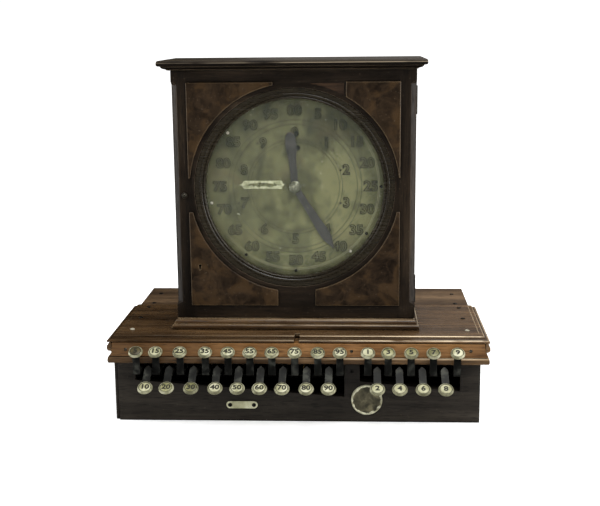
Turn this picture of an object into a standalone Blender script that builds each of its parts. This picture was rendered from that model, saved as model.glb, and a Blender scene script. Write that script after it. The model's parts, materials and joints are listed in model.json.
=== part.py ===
"""Dial cash register: two rows of price keys in a low box, and a case with a two-handed dial on top.

Every length in the settings is in millimetres. X runs to the right, Y away from the keys, Z up.
Depths are given from the front face of the box. The origin is the middle of the box's underside.
"""

import math

import bmesh
import bpy
from mathutils import Matrix, Vector

MM = 0.001
GAP = 0.3

# Box that holds the keys
BOX_WIDTH = 412.0
BOX_DEPTH = 235.5
BOX_HEIGHT = 71.4
BOARD = 10.0
FRONT_BOARD = 12.0
SIDE_BOARD_REACH = 4.4
SIDE_BOARD_FRONT = 3.0
FLOOR_BOARD = 9.0
DECK_SPLIT = 146.0
DECK_UNDERSIDE = 95.5
DECK_TOP = 100.5
RAIL_BOTTOM = 79.3
RAIL_QUIRK = 84.0
RAIL_END = 4.2

# Case that holds the dial
CASE_X = -3.6
CASE_WIDTH = 273.6
PLINTH_X = -4.0
CORNICE_X = -4.8
MOULDING_WIDTH = 269.0
CASE_FRONT = 35.2
CASE_BACK = 149.6
CASE_BOTTOM = 112.8
CASE_TOP = 396.0
CASE_SIDE = 12.0
CASE_BACK_BOARD = 8.0
DOOR_THICKNESS = 18.0
DOOR_CHAMFER = 6.3
CHAMFER_BOTTOM = 128.0
CHAMFER_TOP = 384.0

# Dial, glass and hands
DIAL_X = -3.6
DIAL_Z = 263.0
DIAL_FACE = 53.8
DIAL_RADIUS = 112.0
DIAL_SHEET = 1.2
OPENING_RADIUS = 101.0
BEZEL_SEAT_RADIUS = 113.3
SPANDREL_X = -4.0
SPANDREL_ARC_RADIUS = 118.3
SPANDREL_HALF_WIDTH = 119.5
SPANDREL_BOTTOM = 128.0
SPANDREL_TOP = 382.6
SPANDREL_RAISE = 2.5
UPPER_TIP = 12.7
LOWER_TIP = 26.0
SPANDREL_INNER = {"ul": 22.8, "ur": 58.4, "ll": 19.6, "lr": 23.1}
HUB_RADIUS = 7.0
CENTS_HAND_LENGTH = 83.0
CENTS_HAND_ANGLE = 148.0
DOLLARS_HAND_LENGTH = 63.0
DOLLARS_HAND_ANGLE = -5.0

# Keys: one column position for each, smallest price on the left of its row
CENTS_UPPER = (-180.1, -157.8, -130.52, -102.0, -76.57, -52.07, -27.57, -2.0, 23.73, 48.23)
CENTS_LOWER = (-166.4, -142.78, -115.4, -88.83, -64.33, -39.83, -15.1, 11.47, 35.97)
DOLLARS_UPPER = (79.3, 101.75, 127.1, 151.6, 178.1)
DOLLARS_LOWER = (89.5, 114.0, 139.35, 163.85)
LEVER_WIDTH = 8.0
LEVER_TOP = 64.5
LEVER_BOTTOM = 61.5
UPPER_CAP_RADIUS = 8.1
LOWER_CAP_RADIUS = 8.5
CAP_THICKNESS = 4.0
CAP_TILT = 30.0
CAP_SIDES = 20
UPPER_CAP = (-22.0, 88.2)
LOWER_CAP = (-45.0, 54.0)

# Slots in the front board: left end, right end, height of the lower edge at each end
CENTS_SLOT = (-186.0, 53.0, 48.0, 29.4)
DOLLARS_SLOT = (70.4, 183.5, 47.9, 37.1)
SLOT_TOP = 67.5

# Rod that every key and both bails turn on
ROD_DEPTH = 205.0
ROD_HEIGHT = 63.0
ROD_RADIUS = 3.0
ROD_BORE = 3.09
ROD_SIDES = 16
BOSS_RADIUS = 6.0
ROD_REACH = 200.0

# Bails, racks and pinions
BAIL_BAR_RADIUS = 2.5
CENTS_BAIL_BAR = (76.9, 29.6)
DOLLARS_BAIL_BAR = (62.0, 36.8)
CENTS_BAIL_ARMS = (-192.0, 55.0)
DOLLARS_BAIL_ARMS = (65.0, 188.0)
BAIL_ARM = 3.0
RACK_LEFT = 3.6
RACK_RIGHT = 6.6
RACK_THICKNESS = 4.0
CENTS_RACK_FRONT = 71.0
DOLLARS_RACK_FRONT = 59.7
PINION_TEETH = 10
CENTS_PINION_RADIUS = 3.25
DOLLARS_PINION_RADIUS = 2.8

# Door furniture and badges
HINGE_X = CASE_X + CASE_WIDTH / 2 + 0.1
HINGE_DEPTH = CASE_FRONT + DOOR_THICKNESS + 0.15
HINGE_RADIUS = 1.6
HINGE_HEIGHTS = ((128.0, 160.0), (345.0, 377.0))
BUTTON = (-128.8, 255.9)
KEYHOLE = (-112.7, 174.6)
MEDALLION = (78.3, 26.6)
MEDALLION_RADIUS = 17.7
PLATE = (-64.0, 19.5)

# Finishes: colour, roughness, metallic
DARK_WALNUT = ((0.060, 0.038, 0.024), 0.45, 0.0)
BLACK_WALNUT = ((0.030, 0.024, 0.018), 0.5, 0.0)
RED_WALNUT = ((0.16, 0.085, 0.045), 0.4, 0.0)
BURL = ((0.10, 0.055, 0.026), 0.35, 0.0)
PALE_RAIL = ((0.33, 0.18, 0.085), 0.45, 0.0)
DARK_STEEL = ((0.05, 0.05, 0.045), 0.4, 0.9)
BRIGHT_STEEL = ((0.45, 0.45, 0.43), 0.3, 1.0)
NICKEL = ((0.62, 0.60, 0.52), 0.28, 1.0)
BRASS = ((0.55, 0.42, 0.2), 0.35, 1.0)
DIAL_METAL = ((0.23, 0.24, 0.15), 0.5, 0.8)
IVORY = ((0.62, 0.62, 0.48), 0.5, 0.0)
GLASS = ((0.9, 0.95, 0.92), 0.05, 0.0)


def clear_scene():
    for item in list(bpy.data.objects):
        bpy.data.objects.remove(item, do_unlink=True)


def new_collection(name):
    group = bpy.data.collections.new(name)
    bpy.context.scene.collection.children.link(group)
    return group


def place(x, depth, z):
    """A point in metres from one in millimetres behind the front face of the box."""
    return Vector((x, depth - BOX_DEPTH / 2, z)) * MM


def add_object(name, mesh):
    item = bpy.data.objects.new(name, mesh)
    PARTS.objects.link(item)
    return item


def solid(name, points, faces):
    """A closed mesh object from points in millimetres, with its faces turned outwards."""
    shape = bmesh.new()
    corners = [shape.verts.new(place(*point)) for point in points]
    for face in faces:
        shape.faces.new([corners[i] for i in face])
    bmesh.ops.recalc_face_normals(shape, faces=shape.faces)
    mesh = bpy.data.meshes.new(name)
    shape.to_mesh(mesh)
    shape.free()
    return add_object(name, mesh)


def loft(name, rings):
    """Joins rings that have the same number of points, and closes both ends."""
    count = len(rings[0])
    points = [point for ring in rings for point in ring]
    faces = [list(range(count)), list(range(len(points) - count, len(points)))]
    for level in range(len(rings) - 1):
        low = level * count
        for i in range(count):
            j = (i + 1) % count
            faces.append([low + i, low + j, low + count + j, low + count + i])
    return solid(name, points, faces)


def block(name, x, depth, z):
    """A box from three (low, high) pairs."""
    corners = ((0, 0), (1, 0), (1, 1), (0, 1))
    return loft(name, [[(x[i], depth[j], height) for i, j in corners] for height in z])


def stepped(name, x, depth, rows):
    """Boards moulded on the left, front and right: rows hold side overhang, front overhang, height."""
    rings = []
    for side, front, z in rows:
        left = x[0] - side
        right = x[1] + side
        near = depth[0] - front
        rings.append([(left, near, z), (right, near, z), (right, depth[1], z), (left, depth[1], z)])
    return loft(name, rings)


def arc(centre, radius, start, end, count):
    """Points on an arc, with the angles in degrees."""
    points = []
    for i in range(count + 1):
        angle = math.radians(start + (end - start) * i / count)
        points.append((centre[0] + radius * math.cos(angle), centre[1] + radius * math.sin(angle)))
    return points


def circle(centre, radius, sides, phase=0.0):
    return arc(centre, radius, phase, phase + 360.0, sides)[:-1]


def plate(name, outlines, low, high, facing):
    """A flat plate with holes: the first outline is its edge, and the others are holes.

    Facing X, outlines hold depth and height. Facing Y, they hold x and height.
    """
    curve = bpy.data.curves.new(name, "CURVE")
    curve.dimensions = "2D"
    curve.fill_mode = "BOTH"
    curve.extrude = (high - low) / 2 * MM
    for outline in outlines:
        spline = curve.splines.new("POLY")
        spline.points.add(len(outline) - 1)
        for point, (u, v) in zip(spline.points, outline):
            point.co = (u * MM, v * MM, 0.0, 1.0)
        spline.use_cyclic_u = True
    helper = bpy.data.objects.new(name + "_outline", curve)
    bpy.context.scene.collection.objects.link(helper)
    graph = bpy.context.evaluated_depsgraph_get()
    mesh = bpy.data.meshes.new_from_object(helper.evaluated_get(graph))
    bpy.data.objects.remove(helper, do_unlink=True)
    middle = (low + high) / 2
    if facing == "X":
        turn = Matrix(((0, 0, 1), (1, 0, 0), (0, 1, 0))).to_4x4()
        shift = place(middle, 0.0, 0.0)
    else:
        turn = Matrix(((1, 0, 0), (0, 0, -1), (0, 1, 0))).to_4x4()
        shift = place(0.0, middle, 0.0)
    shape = bmesh.new()
    shape.from_mesh(mesh)
    bmesh.ops.remove_doubles(shape, verts=shape.verts, dist=1e-6)
    bmesh.ops.transform(shape, matrix=Matrix.Translation(shift) @ turn, verts=shape.verts)
    bmesh.ops.recalc_face_normals(shape, faces=shape.faces)
    shape.to_mesh(mesh)
    shape.free()
    mesh.name = name
    return add_object(name, mesh)


def drum(name, centre, radius, low, high, sides, facing):
    """A round bar or disc along X or Y."""
    return plate(name, [circle(centre, radius, sides)], low, high, facing)


def turned(name, centre, profile, sides):
    """A piece turned about an axis along Y: profile holds radius and depth, and closes on itself."""
    rings = []
    for radius, depth in profile:
        rings.append([(x, depth, z) for x, z in circle(centre, radius, sides)])
    points = [point for ring in rings for point in ring]
    faces = []
    for level in range(len(profile)):
        low = level * sides
        high = (level + 1) % len(profile) * sides
        for i in range(sides):
            j = (i + 1) % sides
            faces.append([low + i, low + j, high + j, high + i])
    return solid(name, points, faces)


def boolean(item, helper, operation):
    """Joins or cuts with a helper, which is kept out of the render."""
    PARTS.objects.unlink(helper)
    CUTTERS.objects.link(helper)
    helper.hide_render = True
    helper.display_type = "WIRE"
    step = item.modifiers.new(helper.name, "BOOLEAN")
    step.operation = operation
    step.solver = "EXACT"
    step.object = helper


def cut(item, helper):
    boolean(item, helper, "DIFFERENCE")


def join(item, helper):
    boolean(item, helper, "UNION")


def set_pivot(item, point):
    """Moves the object's origin to a point on its joint axis, and leaves the shape where it is."""
    item.data.transform(Matrix.Translation(-point))
    item.location = point


def finish(item, look):
    colour, roughness, metallic = look
    material = bpy.data.materials.new(item.name)
    material.use_nodes = True
    shader = material.node_tree.nodes["Principled BSDF"]
    shader.inputs["Base Color"].default_value = (*colour, 1.0)
    shader.inputs["Roughness"].default_value = roughness
    shader.inputs["Metallic"].default_value = metallic
    material.diffuse_color = (*colour, 1.0)
    item.data.materials.append(material)


# Box, ledge and deck

def build_box():
    half = BOX_WIDTH / 2
    front = block("base_front", (-half, half), (0, FRONT_BOARD), (0, BOX_HEIGHT - GAP))
    for name, (left, right, low_left, low_right) in (("cents", CENTS_SLOT), ("dollars", DOLLARS_SLOT)):
        outline = [(left, low_left), (right, low_right), (right, SLOT_TOP), (left, SLOT_TOP)]
        cut(front, plate(name + "_slot_cutter", [outline], -5, FRONT_BOARD + 5, "Y"))
    finish(front, BLACK_WALNUT)

    left = -half - SIDE_BOARD_REACH
    joint = FRONT_BOARD + GAP
    plan = [
        (left, SIDE_BOARD_FRONT),
        (-half - GAP, SIDE_BOARD_FRONT),
        (-half - GAP, joint),
        (half, joint),
        (half, BOX_DEPTH),
        (left, BOX_DEPTH),
    ]
    carcass = loft("base_carcass", [[(x, depth, z) for x, depth in plan] for z in (0, BOX_HEIGHT - GAP)])
    above = (BOX_HEIGHT - 5, DECK_UNDERSIDE - GAP)
    rear = block("carcass_rear", (-half, half), (DECK_SPLIT + GAP, BOX_DEPTH), above)
    join(carcass, rear)
    inner = half - BOARD
    room = block("carcass_room", (-inner, inner), (0, BOX_DEPTH - BOARD), (FLOOR_BOARD, DECK_TOP + 20))
    cut(carcass, room)
    reach = ROD_REACH + 1
    sockets = drum("rod_sockets", (ROD_DEPTH, ROD_HEIGHT), ROD_RADIUS + GAP, -reach, reach, ROD_SIDES, "X")
    cut(carcass, sockets)
    finish(carcass, BLACK_WALNUT)


def build_ledge():
    """The ledge: a bead at its foot, a hollow that rises to a quirk, and a round nose under the deck."""
    half = BOX_WIDTH / 2
    inner = half - BOARD
    rows = [
        (7.4, 9.8, BOX_HEIGHT),
        (8.6, 11.0, BOX_HEIGHT + 1.2),
        (8.8, 11.2, BOX_HEIGHT + 3.4),
        (8.0, 11.0, RAIL_BOTTOM - 0.6),
        (7.0, 9.0, RAIL_BOTTOM),
        (5.6, 9.0, 82.0),
        (4.6, 9.0, RAIL_QUIRK),
        (4.6, 9.0, 85.0),
        (8.2, 9.0, 85.6),
        (9.3, 9.0, 87.0),
        (9.5, 9.0, 89.0),
        (9.0, 9.0, 91.4),
        (7.4, 9.0, 93.6),
        (6.6, 9.0, DECK_UNDERSIDE - GAP),
    ]
    moulding = stepped("ledge_moulding", (-half, half), (0, DECK_SPLIT), rows)
    cut(moulding, block("ledge_room", (-inner, inner), (FRONT_BOARD, BOX_DEPTH), (60, 110)))
    reach = half + RAIL_END + GAP
    cut(moulding, block("rail_seat", (-reach, reach), (-30, 0), (RAIL_QUIRK - 1, 110)))
    cut(moulding, block("rail_foot_seat", (-240, 240), (-30, 0), (RAIL_BOTTOM, RAIL_QUIRK)))
    finish(moulding, DARK_WALNUT)

    rail_rows = [
        (6.6, 11.0, RAIL_BOTTOM + GAP),
        (6.0, 11.0, 81.4),
        (RAIL_END, 11.0, RAIL_QUIRK - GAP),
        (RAIL_END - 0.2, 11.0, RAIL_QUIRK + 1.2),
        (RAIL_END - 0.8, 11.0, 89.5),
        (RAIL_END - 1.2, 11.0, DECK_UNDERSIDE - GAP),
    ]
    rail = stepped("front_rail", (-half, half), (0, -GAP), rail_rows)
    finish(rail, PALE_RAIL)


def build_deck():
    half = BOX_WIDTH / 2
    rows = [
        (8.2, 8.8, DECK_UNDERSIDE),
        (9.0, 9.6, DECK_UNDERSIDE + 0.7),
        (9.0, 9.6, DECK_UNDERSIDE + 1.7),
        (8.2, 8.8, DECK_UNDERSIDE + 2.6),
        (7.0, 7.4, DECK_UNDERSIDE + 2.9),
        (4.4, -3.6, DECK_UNDERSIDE + 3.1),
        (4.3, -3.7, DECK_UNDERSIDE + 3.9),
        (3.6, -4.8, DECK_UNDERSIDE + 4.5),
        (1.5, -8.9, DECK_UNDERSIDE + 4.85),
        (-0.4, -13.6, DECK_TOP),
    ]
    front = stepped("front_deck", (-half, half), (0, DECK_SPLIT), rows)
    cut(front, block("front_notch", (-3.5, 2.5), (-20, 15.0), (90, 110)))
    across = (RACK_LEFT - 0.6, RACK_RIGHT + 0.6)
    cut(front, block("rack_slot", across, (DOLLARS_RACK_FRONT - 0.4, 75.4), (90, 110)))
    finish(front, DARK_WALNUT)
    back = block("back_deck", (-half, half), (DECK_SPLIT + GAP, BOX_DEPTH), (DECK_UNDERSIDE, DECK_TOP))
    finish(back, RED_WALNUT)


# Case and door

def build_case():
    left = CASE_X - CASE_WIDTH / 2
    right = CASE_X + CASE_WIDTH / 2
    plinth_rows = [
        (8.0, 7.6, DECK_TOP + GAP),
        (8.0, 7.6, 104.6),
        (7.0, 6.6, 105.6),
        (5.0, 4.8, 106.2),
        (5.0, 4.8, 108.6),
        (3.6, 3.6, 110.4),
        (1.2, 1.2, 111.4),
        (1.2, 1.2, CASE_BOTTOM),
    ]
    half = MOULDING_WIDTH / 2
    depth = (CASE_FRONT, CASE_BACK)
    plinth = stepped("plinth_moulding", (PLINTH_X - half, PLINTH_X + half), depth, plinth_rows)
    cut(plinth, block("plinth_room", (left + 20, right - 20), (CASE_FRONT + 14, CASE_BACK - 12), (95, 120)))
    finish(plinth, RED_WALNUT)

    cornice_rows = [
        (2.6, 2.0, CASE_TOP),
        (4.6, 4.0, CASE_TOP + 0.4),
        (5.2, 4.6, CASE_TOP + 1.2),
        (8.0, 7.4, CASE_TOP + 2.0),
        (10.0, 9.4, CASE_TOP + 3.2),
        (10.4, 9.8, CASE_TOP + 4.2),
        (10.8, 10.2, CASE_TOP + 4.6),
        (13.2, 12.6, CASE_TOP + 4.9),
        (14.4, 13.8, CASE_TOP + 5.9),
        (14.6, 14.0, CASE_TOP + 8.2),
        (14.0, 13.4, CASE_TOP + 10.2),
        (13.0, 12.4, CASE_TOP + 11.0),
    ]
    cornice = stepped("cornice", (CORNICE_X - half, CORNICE_X + half), depth, cornice_rows)
    finish(cornice, DARK_WALNUT)

    joint = CASE_FRONT + DOOR_THICKNESS + GAP
    low = CASE_BOTTOM + GAP
    high = CASE_TOP - GAP
    carcass = block("case_carcass", (left, right), (joint, CASE_BACK), (low, high))
    room = (left + CASE_SIDE, right - CASE_SIDE)
    cut(carcass, block("case_room", room, (0, CASE_BACK - CASE_BACK_BOARD), (90, 420)))
    for side, edges in (("left", (left + 4, room[0] + 24)), ("right", (room[1] - 24, right - 4))):
        heights = (DIAL_Z - 38, DIAL_Z + 38)
        cleat = block(side + "_cleat", edges, (DIAL_FACE + DIAL_SHEET + GAP, 70), heights)
        join(carcass, cleat)
    finish(carcass, DARK_WALNUT)
    return carcass


def build_door():
    left = CASE_X - CASE_WIDTH / 2
    right = CASE_X + CASE_WIDTH / 2
    depth = (CASE_FRONT, CASE_FRONT + DOOR_THICKNESS)
    door = block("door_frame", (left, right), depth, (CASE_BOTTOM + GAP, CASE_TOP - GAP))
    centre = (DIAL_X, DIAL_Z)
    cut(door, drum("dial_opening", centre, BEZEL_SEAT_RADIUS, 20, 70, 64, "Y"))
    run = ((CHAMFER_BOTTOM, 0.0), (CHAMFER_BOTTOM + 4, 1.0), (CHAMFER_TOP - 4, 1.0), (CHAMFER_TOP, 0.0))
    for name, edge, inward in (("left", left, 1), ("right", right, -1)):
        rings = []
        for z, share in run:
            reach = max(DOOR_CHAMFER * share, 0.05)
            rings.append([
                (edge - inward, CASE_FRONT - 1, z),
                (edge + inward * reach, CASE_FRONT - 1, z),
                (edge + inward * reach, CASE_FRONT, z),
                (edge, CASE_FRONT + reach, z),
                (edge - inward, CASE_FRONT + reach, z),
            ])
        cut(door, loft(name + "_chamfer", rings))
    cut(door, drum("button_bore", BUTTON, 3.4, 30, 46, 16, "Y"))
    cut(door, drum("key_bore", KEYHOLE, 1.8, 30, 60, 12, "Y"))
    slot_x = (KEYHOLE[0] - 0.9, KEYHOLE[0] + 0.9)
    slot_z = (KEYHOLE[1] - 4.6, KEYHOLE[1])
    cut(door, block("key_slot", slot_x, (30, 60), slot_z))
    finish(door, DARK_WALNUT)

    bezel = turned(
        "bezel_ring",
        centre,
        [
            (OPENING_RADIUS, 44.0),
            (OPENING_RADIUS, 37.0),
            (OPENING_RADIUS + 1.6, 35.7),
            (OPENING_RADIUS + 3.2, 36.7),
            (OPENING_RADIUS + 5.4, 35.0),
            (OPENING_RADIUS + 7.2, 35.6),
            (BEZEL_SEAT_RADIUS - GAP, 35.6),
            (BEZEL_SEAT_RADIUS - GAP, 44.0),
        ],
        64,
    )
    finish(bezel, BLACK_WALNUT)
    glass = drum("door_glass", centre, BEZEL_SEAT_RADIUS - 1.5, 44.3, 46.3, 48, "Y")
    finish(glass, GLASS)

    lock_x = (KEYHOLE[0] - 12.5, KEYHOLE[0] + 9)
    lock_z = (KEYHOLE[1] - 14, KEYHOLE[1] + 14)
    lock = block("door_lock", lock_x, (depth[1] + GAP, depth[1] + 6), lock_z)
    finish(lock, DARK_STEEL)

    button = turned(
        "door_button",
        BUTTON,
        [(0.4, 33.0), (1.9, 33.2), (3.0, 34.0), (3.1, 35.0), (3.1, 43.5), (0.4, 43.5)],
        16,
    )
    cap = drum("button_core", BUTTON, 0.8, 33.05, 43.45, 16, "Y")
    join(button, cap)
    finish(button, DARK_STEEL)
    set_pivot(button, place(BUTTON[0], 39.0, BUTTON[1]))
    set_pivot(door, place(HINGE_X, HINGE_DEPTH, (CASE_BOTTOM + CASE_TOP) / 2))
    return door


def build_spandrels():
    """Raised corner panels that follow the round opening. The upper right one has lost its inner tip."""
    front = CASE_FRONT - GAP - SPANDREL_RAISE
    radius = SPANDREL_ARC_RADIUS
    for name, side, up in (("ul", -1, 1), ("ur", 1, 1), ("ll", -1, -1), ("lr", 1, -1)):
        outer = SPANDREL_X + side * SPANDREL_HALF_WIDTH
        inner = DIAL_X + side * SPANDREL_INNER[name]
        edge = SPANDREL_TOP if up > 0 else SPANDREL_BOTTOM
        tip = UPPER_TIP if up > 0 else LOWER_TIP
        start = math.degrees(math.asin(tip / radius))
        end = math.degrees(math.acos(SPANDREL_INNER[name] / radius))
        curve = arc((0, 0), radius, start, end, 12)
        outline = [(DIAL_X + side * u, DIAL_Z + up * v) for u, v in curve]
        outline += [(inner, edge), (outer, edge), (outer, DIAL_Z + up * tip)]
        panel = plate("spandrel_" + name, [outline], front, CASE_FRONT - GAP, "Y")
        bevel = panel.modifiers.new("rounded edge", "BEVEL")
        bevel.width = 0.7 * MM
        bevel.segments = 1
        bevel.limit_method = "ANGLE"
        bevel.angle_limit = math.radians(60)
        if name == "ll":
            cut(panel, drum("keyhole_round", KEYHOLE, 1.8, 25, 40, 12, "Y"))
            slot_x = (KEYHOLE[0] - 0.9, KEYHOLE[0] + 0.9)
            slot_z = (KEYHOLE[1] - 4.6, KEYHOLE[1])
            cut(panel, block("keyhole_slot", slot_x, (25, 40), slot_z))
        finish(panel, BURL)


def build_hinges(door, carcass):
    centre_x = HINGE_X
    right = CASE_X + CASE_WIDTH / 2
    leaf_front = CASE_FRONT + DOOR_THICKNESS + GAP
    for name, (low, high) in zip(("lower", "upper"), HINGE_HEIGHTS):
        rings = []
        room = []
        for z in (low, high):
            rings.append([(x, y, z) for x, y in circle((centre_x, HINGE_DEPTH), HINGE_RADIUS, 12)])
        for z in (low - GAP, high + GAP):
            room.append([(x, y, z) for x, y in circle((centre_x, HINGE_DEPTH), HINGE_RADIUS + 0.35, 12)])
        hinge = loft("hinge_" + name, rings)
        leaf_depth = (leaf_front + 0.1, leaf_front + 1.2)
        leaf = block(name + "_leaf", (right - 12, centre_x), leaf_depth, (low, high))
        join(hinge, leaf)
        finish(hinge, DARK_STEEL)
        cut(door, loft(name + "_knuckle_room", room))
        cut(carcass, loft(name + "_knuckle_seat", room))
        across = (right - 12.4, right + 5)
        heights = (low - GAP, high + GAP)
        cut(carcass, block(name + "_mortise", across, (leaf_front - 5, leaf_front + 1.6), heights))


# Dial and hands

def gear_outline(centre, radius, teeth):
    """A small pinion whose first gap faces +X, with teeth thinned for running clearance."""
    module = 2 * radius / teeth
    pressure = math.radians(20)
    base = radius * math.cos(pressure)
    tip = radius + 0.8 * module
    root = radius - 1.1 * module

    def involute(at):
        lean = math.acos(min(1.0, base / at))
        return math.tan(lean) - lean

    half = 0.40 * math.pi * module / (2 * radius)
    flank = []
    for at in (base, (base + radius) / 2 + 0.02, radius, (radius + tip) / 2, tip):
        flank.append((at, half + involute(radius) - involute(at)))
    outline = []
    for i in range(teeth):
        middle = (i + 0.5) * 2 * math.pi / teeth
        side = [(root, flank[0][1] + 0.02)] + flank
        for at, turn in side:
            before = middle - turn
            outline.append((centre[0] + at * math.cos(before), centre[1] + at * math.sin(before)))
        for at, turn in reversed(side):
            after = middle + turn
            outline.append((centre[0] + at * math.cos(after), centre[1] + at * math.sin(after)))
    return outline


def hand_outline(angle, half_widths):
    """A hand's edge from (distance, half width) pairs, turned clockwise from straight up."""
    turn = math.radians(angle)
    along = (math.sin(turn), math.cos(turn))
    across = (math.cos(turn), -math.sin(turn))
    points = []
    for sign, pairs in ((1, half_widths), (-1, list(reversed(half_widths)))):
        for distance, half in pairs:
            if half == 0.0 and sign < 0:
                continue
            points.append((
                DIAL_X + along[0] * distance + across[0] * half * sign,
                DIAL_Z + along[1] * distance + across[1] * half * sign,
            ))
    return points


def build_dial():
    centre = (DIAL_X, DIAL_Z)
    back = DIAL_FACE + DIAL_SHEET
    bore = circle(centre, 2.05, 12)
    dial = plate("dial_plate", [circle(centre, DIAL_RADIUS, 64), bore], DIAL_FACE, back, "Y")
    boss = plate("dial_boss", [circle(centre, 4.0, 12, 15), bore], back - 0.4, back + 3.2, "Y")
    join(dial, boss)
    strap = [(DIAL_X + u, DIAL_Z + v) for u, v in ((-29, -4), (29, -4), (29, 4), (-29, 4))]
    join(dial, plate("bridge_strap", [strap, circle(centre, 1.12, 12)], 77.5, 79.5, "Y"))
    for side, middle in (("left", DIAL_X - 26), ("right", DIAL_X + 26)):
        across = (middle - 2.5, middle + 2.5)
        join(dial, block("bridge_post_" + side, across, (back - 0.4, 78.5), (DIAL_Z - 3.5, DIAL_Z + 3.5)))
    finish(dial, DIAL_METAL)

    z = DIAL_Z + 2.4
    tab = [
        (-67.3, z - 0.8),
        (-64.0, z - 1.5),
        (-61.4, z - 4.7),
        (-18.8, z - 4.7),
        (-16.0, z),
        (-18.8, z + 4.7),
        (-61.4, z + 4.7),
        (-64.0, z + 1.5),
        (-67.3, z + 0.8),
    ]
    bar = plate("name_bar", [tab], DIAL_FACE - 0.9, DIAL_FACE - GAP, "Y")
    finish(bar, IVORY)


def build_hands():
    centre = (DIAL_X, DIAL_Z)
    cents_shape = [
        (0.0, 3.6),
        (14.0, 3.9),
        (40.0, 4.8),
        (58.0, 5.7),
        (66.0, 5.5),
        (70.0, 5.1),
        (78.0, 2.4),
        (CENTS_HAND_LENGTH, 0.0),
    ]
    cents = plate("cents_hand", [hand_outline(CENTS_HAND_ANGLE, cents_shape)], 49.6, 50.8, "Y")
    join(cents, drum("cents_hub", centre, HUB_RADIUS, 48.3, 50.2, 24, "Y"))
    join(cents, drum("cents_arbor", centre, 1.0, 48.6, 80.2, 12, "Y"))
    gear = gear_outline(centre, CENTS_PINION_RADIUS, PINION_TEETH)
    join(cents, plate("cents_pinion", [gear], CENTS_RACK_FRONT, CENTS_RACK_FRONT + RACK_THICKNESS, "Y"))
    finish(cents, DARK_STEEL)
    set_pivot(cents, place(DIAL_X, DIAL_FACE, DIAL_Z))

    dollars_shape = [
        (0.0, 3.8),
        (18.0, 4.2),
        (30.0, 4.2),
        (42.0, 5.9),
        (50.0, 6.4),
        (56.0, 6.1),
        (61.0, 4.4),
        (DOLLARS_HAND_LENGTH, 2.5),
    ]
    outline = hand_outline(DOLLARS_HAND_ANGLE, dollars_shape)
    dollars = plate("dollars_hand", [outline], 51.4, 52.5, "Y")
    bore = circle(centre, 1.12, 12)
    join(dollars, plate("dollars_hub", [circle(centre, 4.4, 16)], 51.2, 52.7, "Y"))
    rack_back = DOLLARS_RACK_FRONT + RACK_THICKNESS
    join(dollars, drum("dollars_sleeve", centre, 1.9, 51.6, rack_back, 12, "Y"))
    gear = gear_outline(centre, DOLLARS_PINION_RADIUS, PINION_TEETH)
    join(dollars, plate("dollars_pinion", [gear], DOLLARS_RACK_FRONT, rack_back, "Y"))
    cut(dollars, plate("dollars_bore", [bore], 40, 70, "Y"))
    finish(dollars, DARK_STEEL)
    set_pivot(dollars, place(DIAL_X, DIAL_FACE, DIAL_Z))


# Keys and the linkage behind them

def lever_outline(front_points):
    """A flat lever from the rod to the front, with a round boss on the rod."""
    rise = LEVER_TOP - ROD_HEIGHT
    lean = math.degrees(math.asin(rise / BOSS_RADIUS))
    boss = arc((ROD_DEPTH, ROD_HEIGHT), BOSS_RADIUS, 180 - lean, -180 + lean, 9)
    return list(front_points) + boss


def build_key(name, x, upper, look):
    if upper:
        depth, height = UPPER_CAP
        radius = UPPER_CAP_RADIUS
        front = [
            (-21.0, LEVER_BOTTOM),
            (-21.0, height - 0.7),
            (-18.5, height + 0.7),
            (-18.5, LEVER_TOP),
        ]
    else:
        depth, height = LOWER_CAP
        radius = LOWER_CAP_RADIUS
        front = [
            (-29.7, LEVER_BOTTOM),
            (-42.3, 53.5),
            (-43.5, 55.4),
            (-18.0, 71.5),
            (-16.8, 69.6),
            (-24.9, LEVER_TOP),
        ]
    half = LEVER_WIDTH / 2
    bore = circle((ROD_DEPTH, ROD_HEIGHT), ROD_BORE, ROD_SIDES)
    key = plate(name, [lever_outline(front), bore], x - half, x + half, "X")
    tilt = math.radians(CAP_TILT)
    rings = []
    for offset in (-CAP_THICKNESS / 2, CAP_THICKNESS / 2):
        ring = []
        for u, v in circle((0, 0), radius, CAP_SIDES):
            along = v * math.cos(tilt) - offset * math.sin(tilt)
            rise = v * math.sin(tilt) + offset * math.cos(tilt)
            ring.append((x + u, depth + along, height + rise))
        rings.append(ring)
    join(key, loft(name + "_cap", rings))
    finish(key, look)
    set_pivot(key, place(x, ROD_DEPTH, ROD_HEIGHT))


def build_keys():
    for i, x in enumerate(CENTS_UPPER):
        build_key("cents_key_%02d" % (10 * i + 5), x, True, NICKEL)
    for i, x in enumerate(CENTS_LOWER):
        build_key("cents_key_%02d" % (10 * i + 10), x, False, NICKEL)
    for i, x in enumerate(DOLLARS_UPPER):
        build_key("dollars_key_%d" % (2 * i + 1), x, True, NICKEL)
    for i, x in enumerate(DOLLARS_LOWER):
        build_key("dollars_key_%d" % (2 * i + 2), x, False, NICKEL)
    rod = drum("key_rod", (ROD_DEPTH, ROD_HEIGHT), ROD_RADIUS, -ROD_REACH, ROD_REACH, ROD_SIDES, "X")
    finish(rod, BRIGHT_STEEL)


def arm_outline(bar):
    """A flat arm from the rod down to the bail's bar."""
    run = bar[0] - ROD_DEPTH
    drop = bar[1] - ROD_HEIGHT
    heading = math.degrees(math.atan2(drop, run))
    outline = arc((ROD_DEPTH, ROD_HEIGHT), BOSS_RADIUS, heading + 60, heading + 300, 8)
    outline += arc(bar, BAIL_BAR_RADIUS + 1.2, heading - 70, heading + 70, 4)
    return outline


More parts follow.
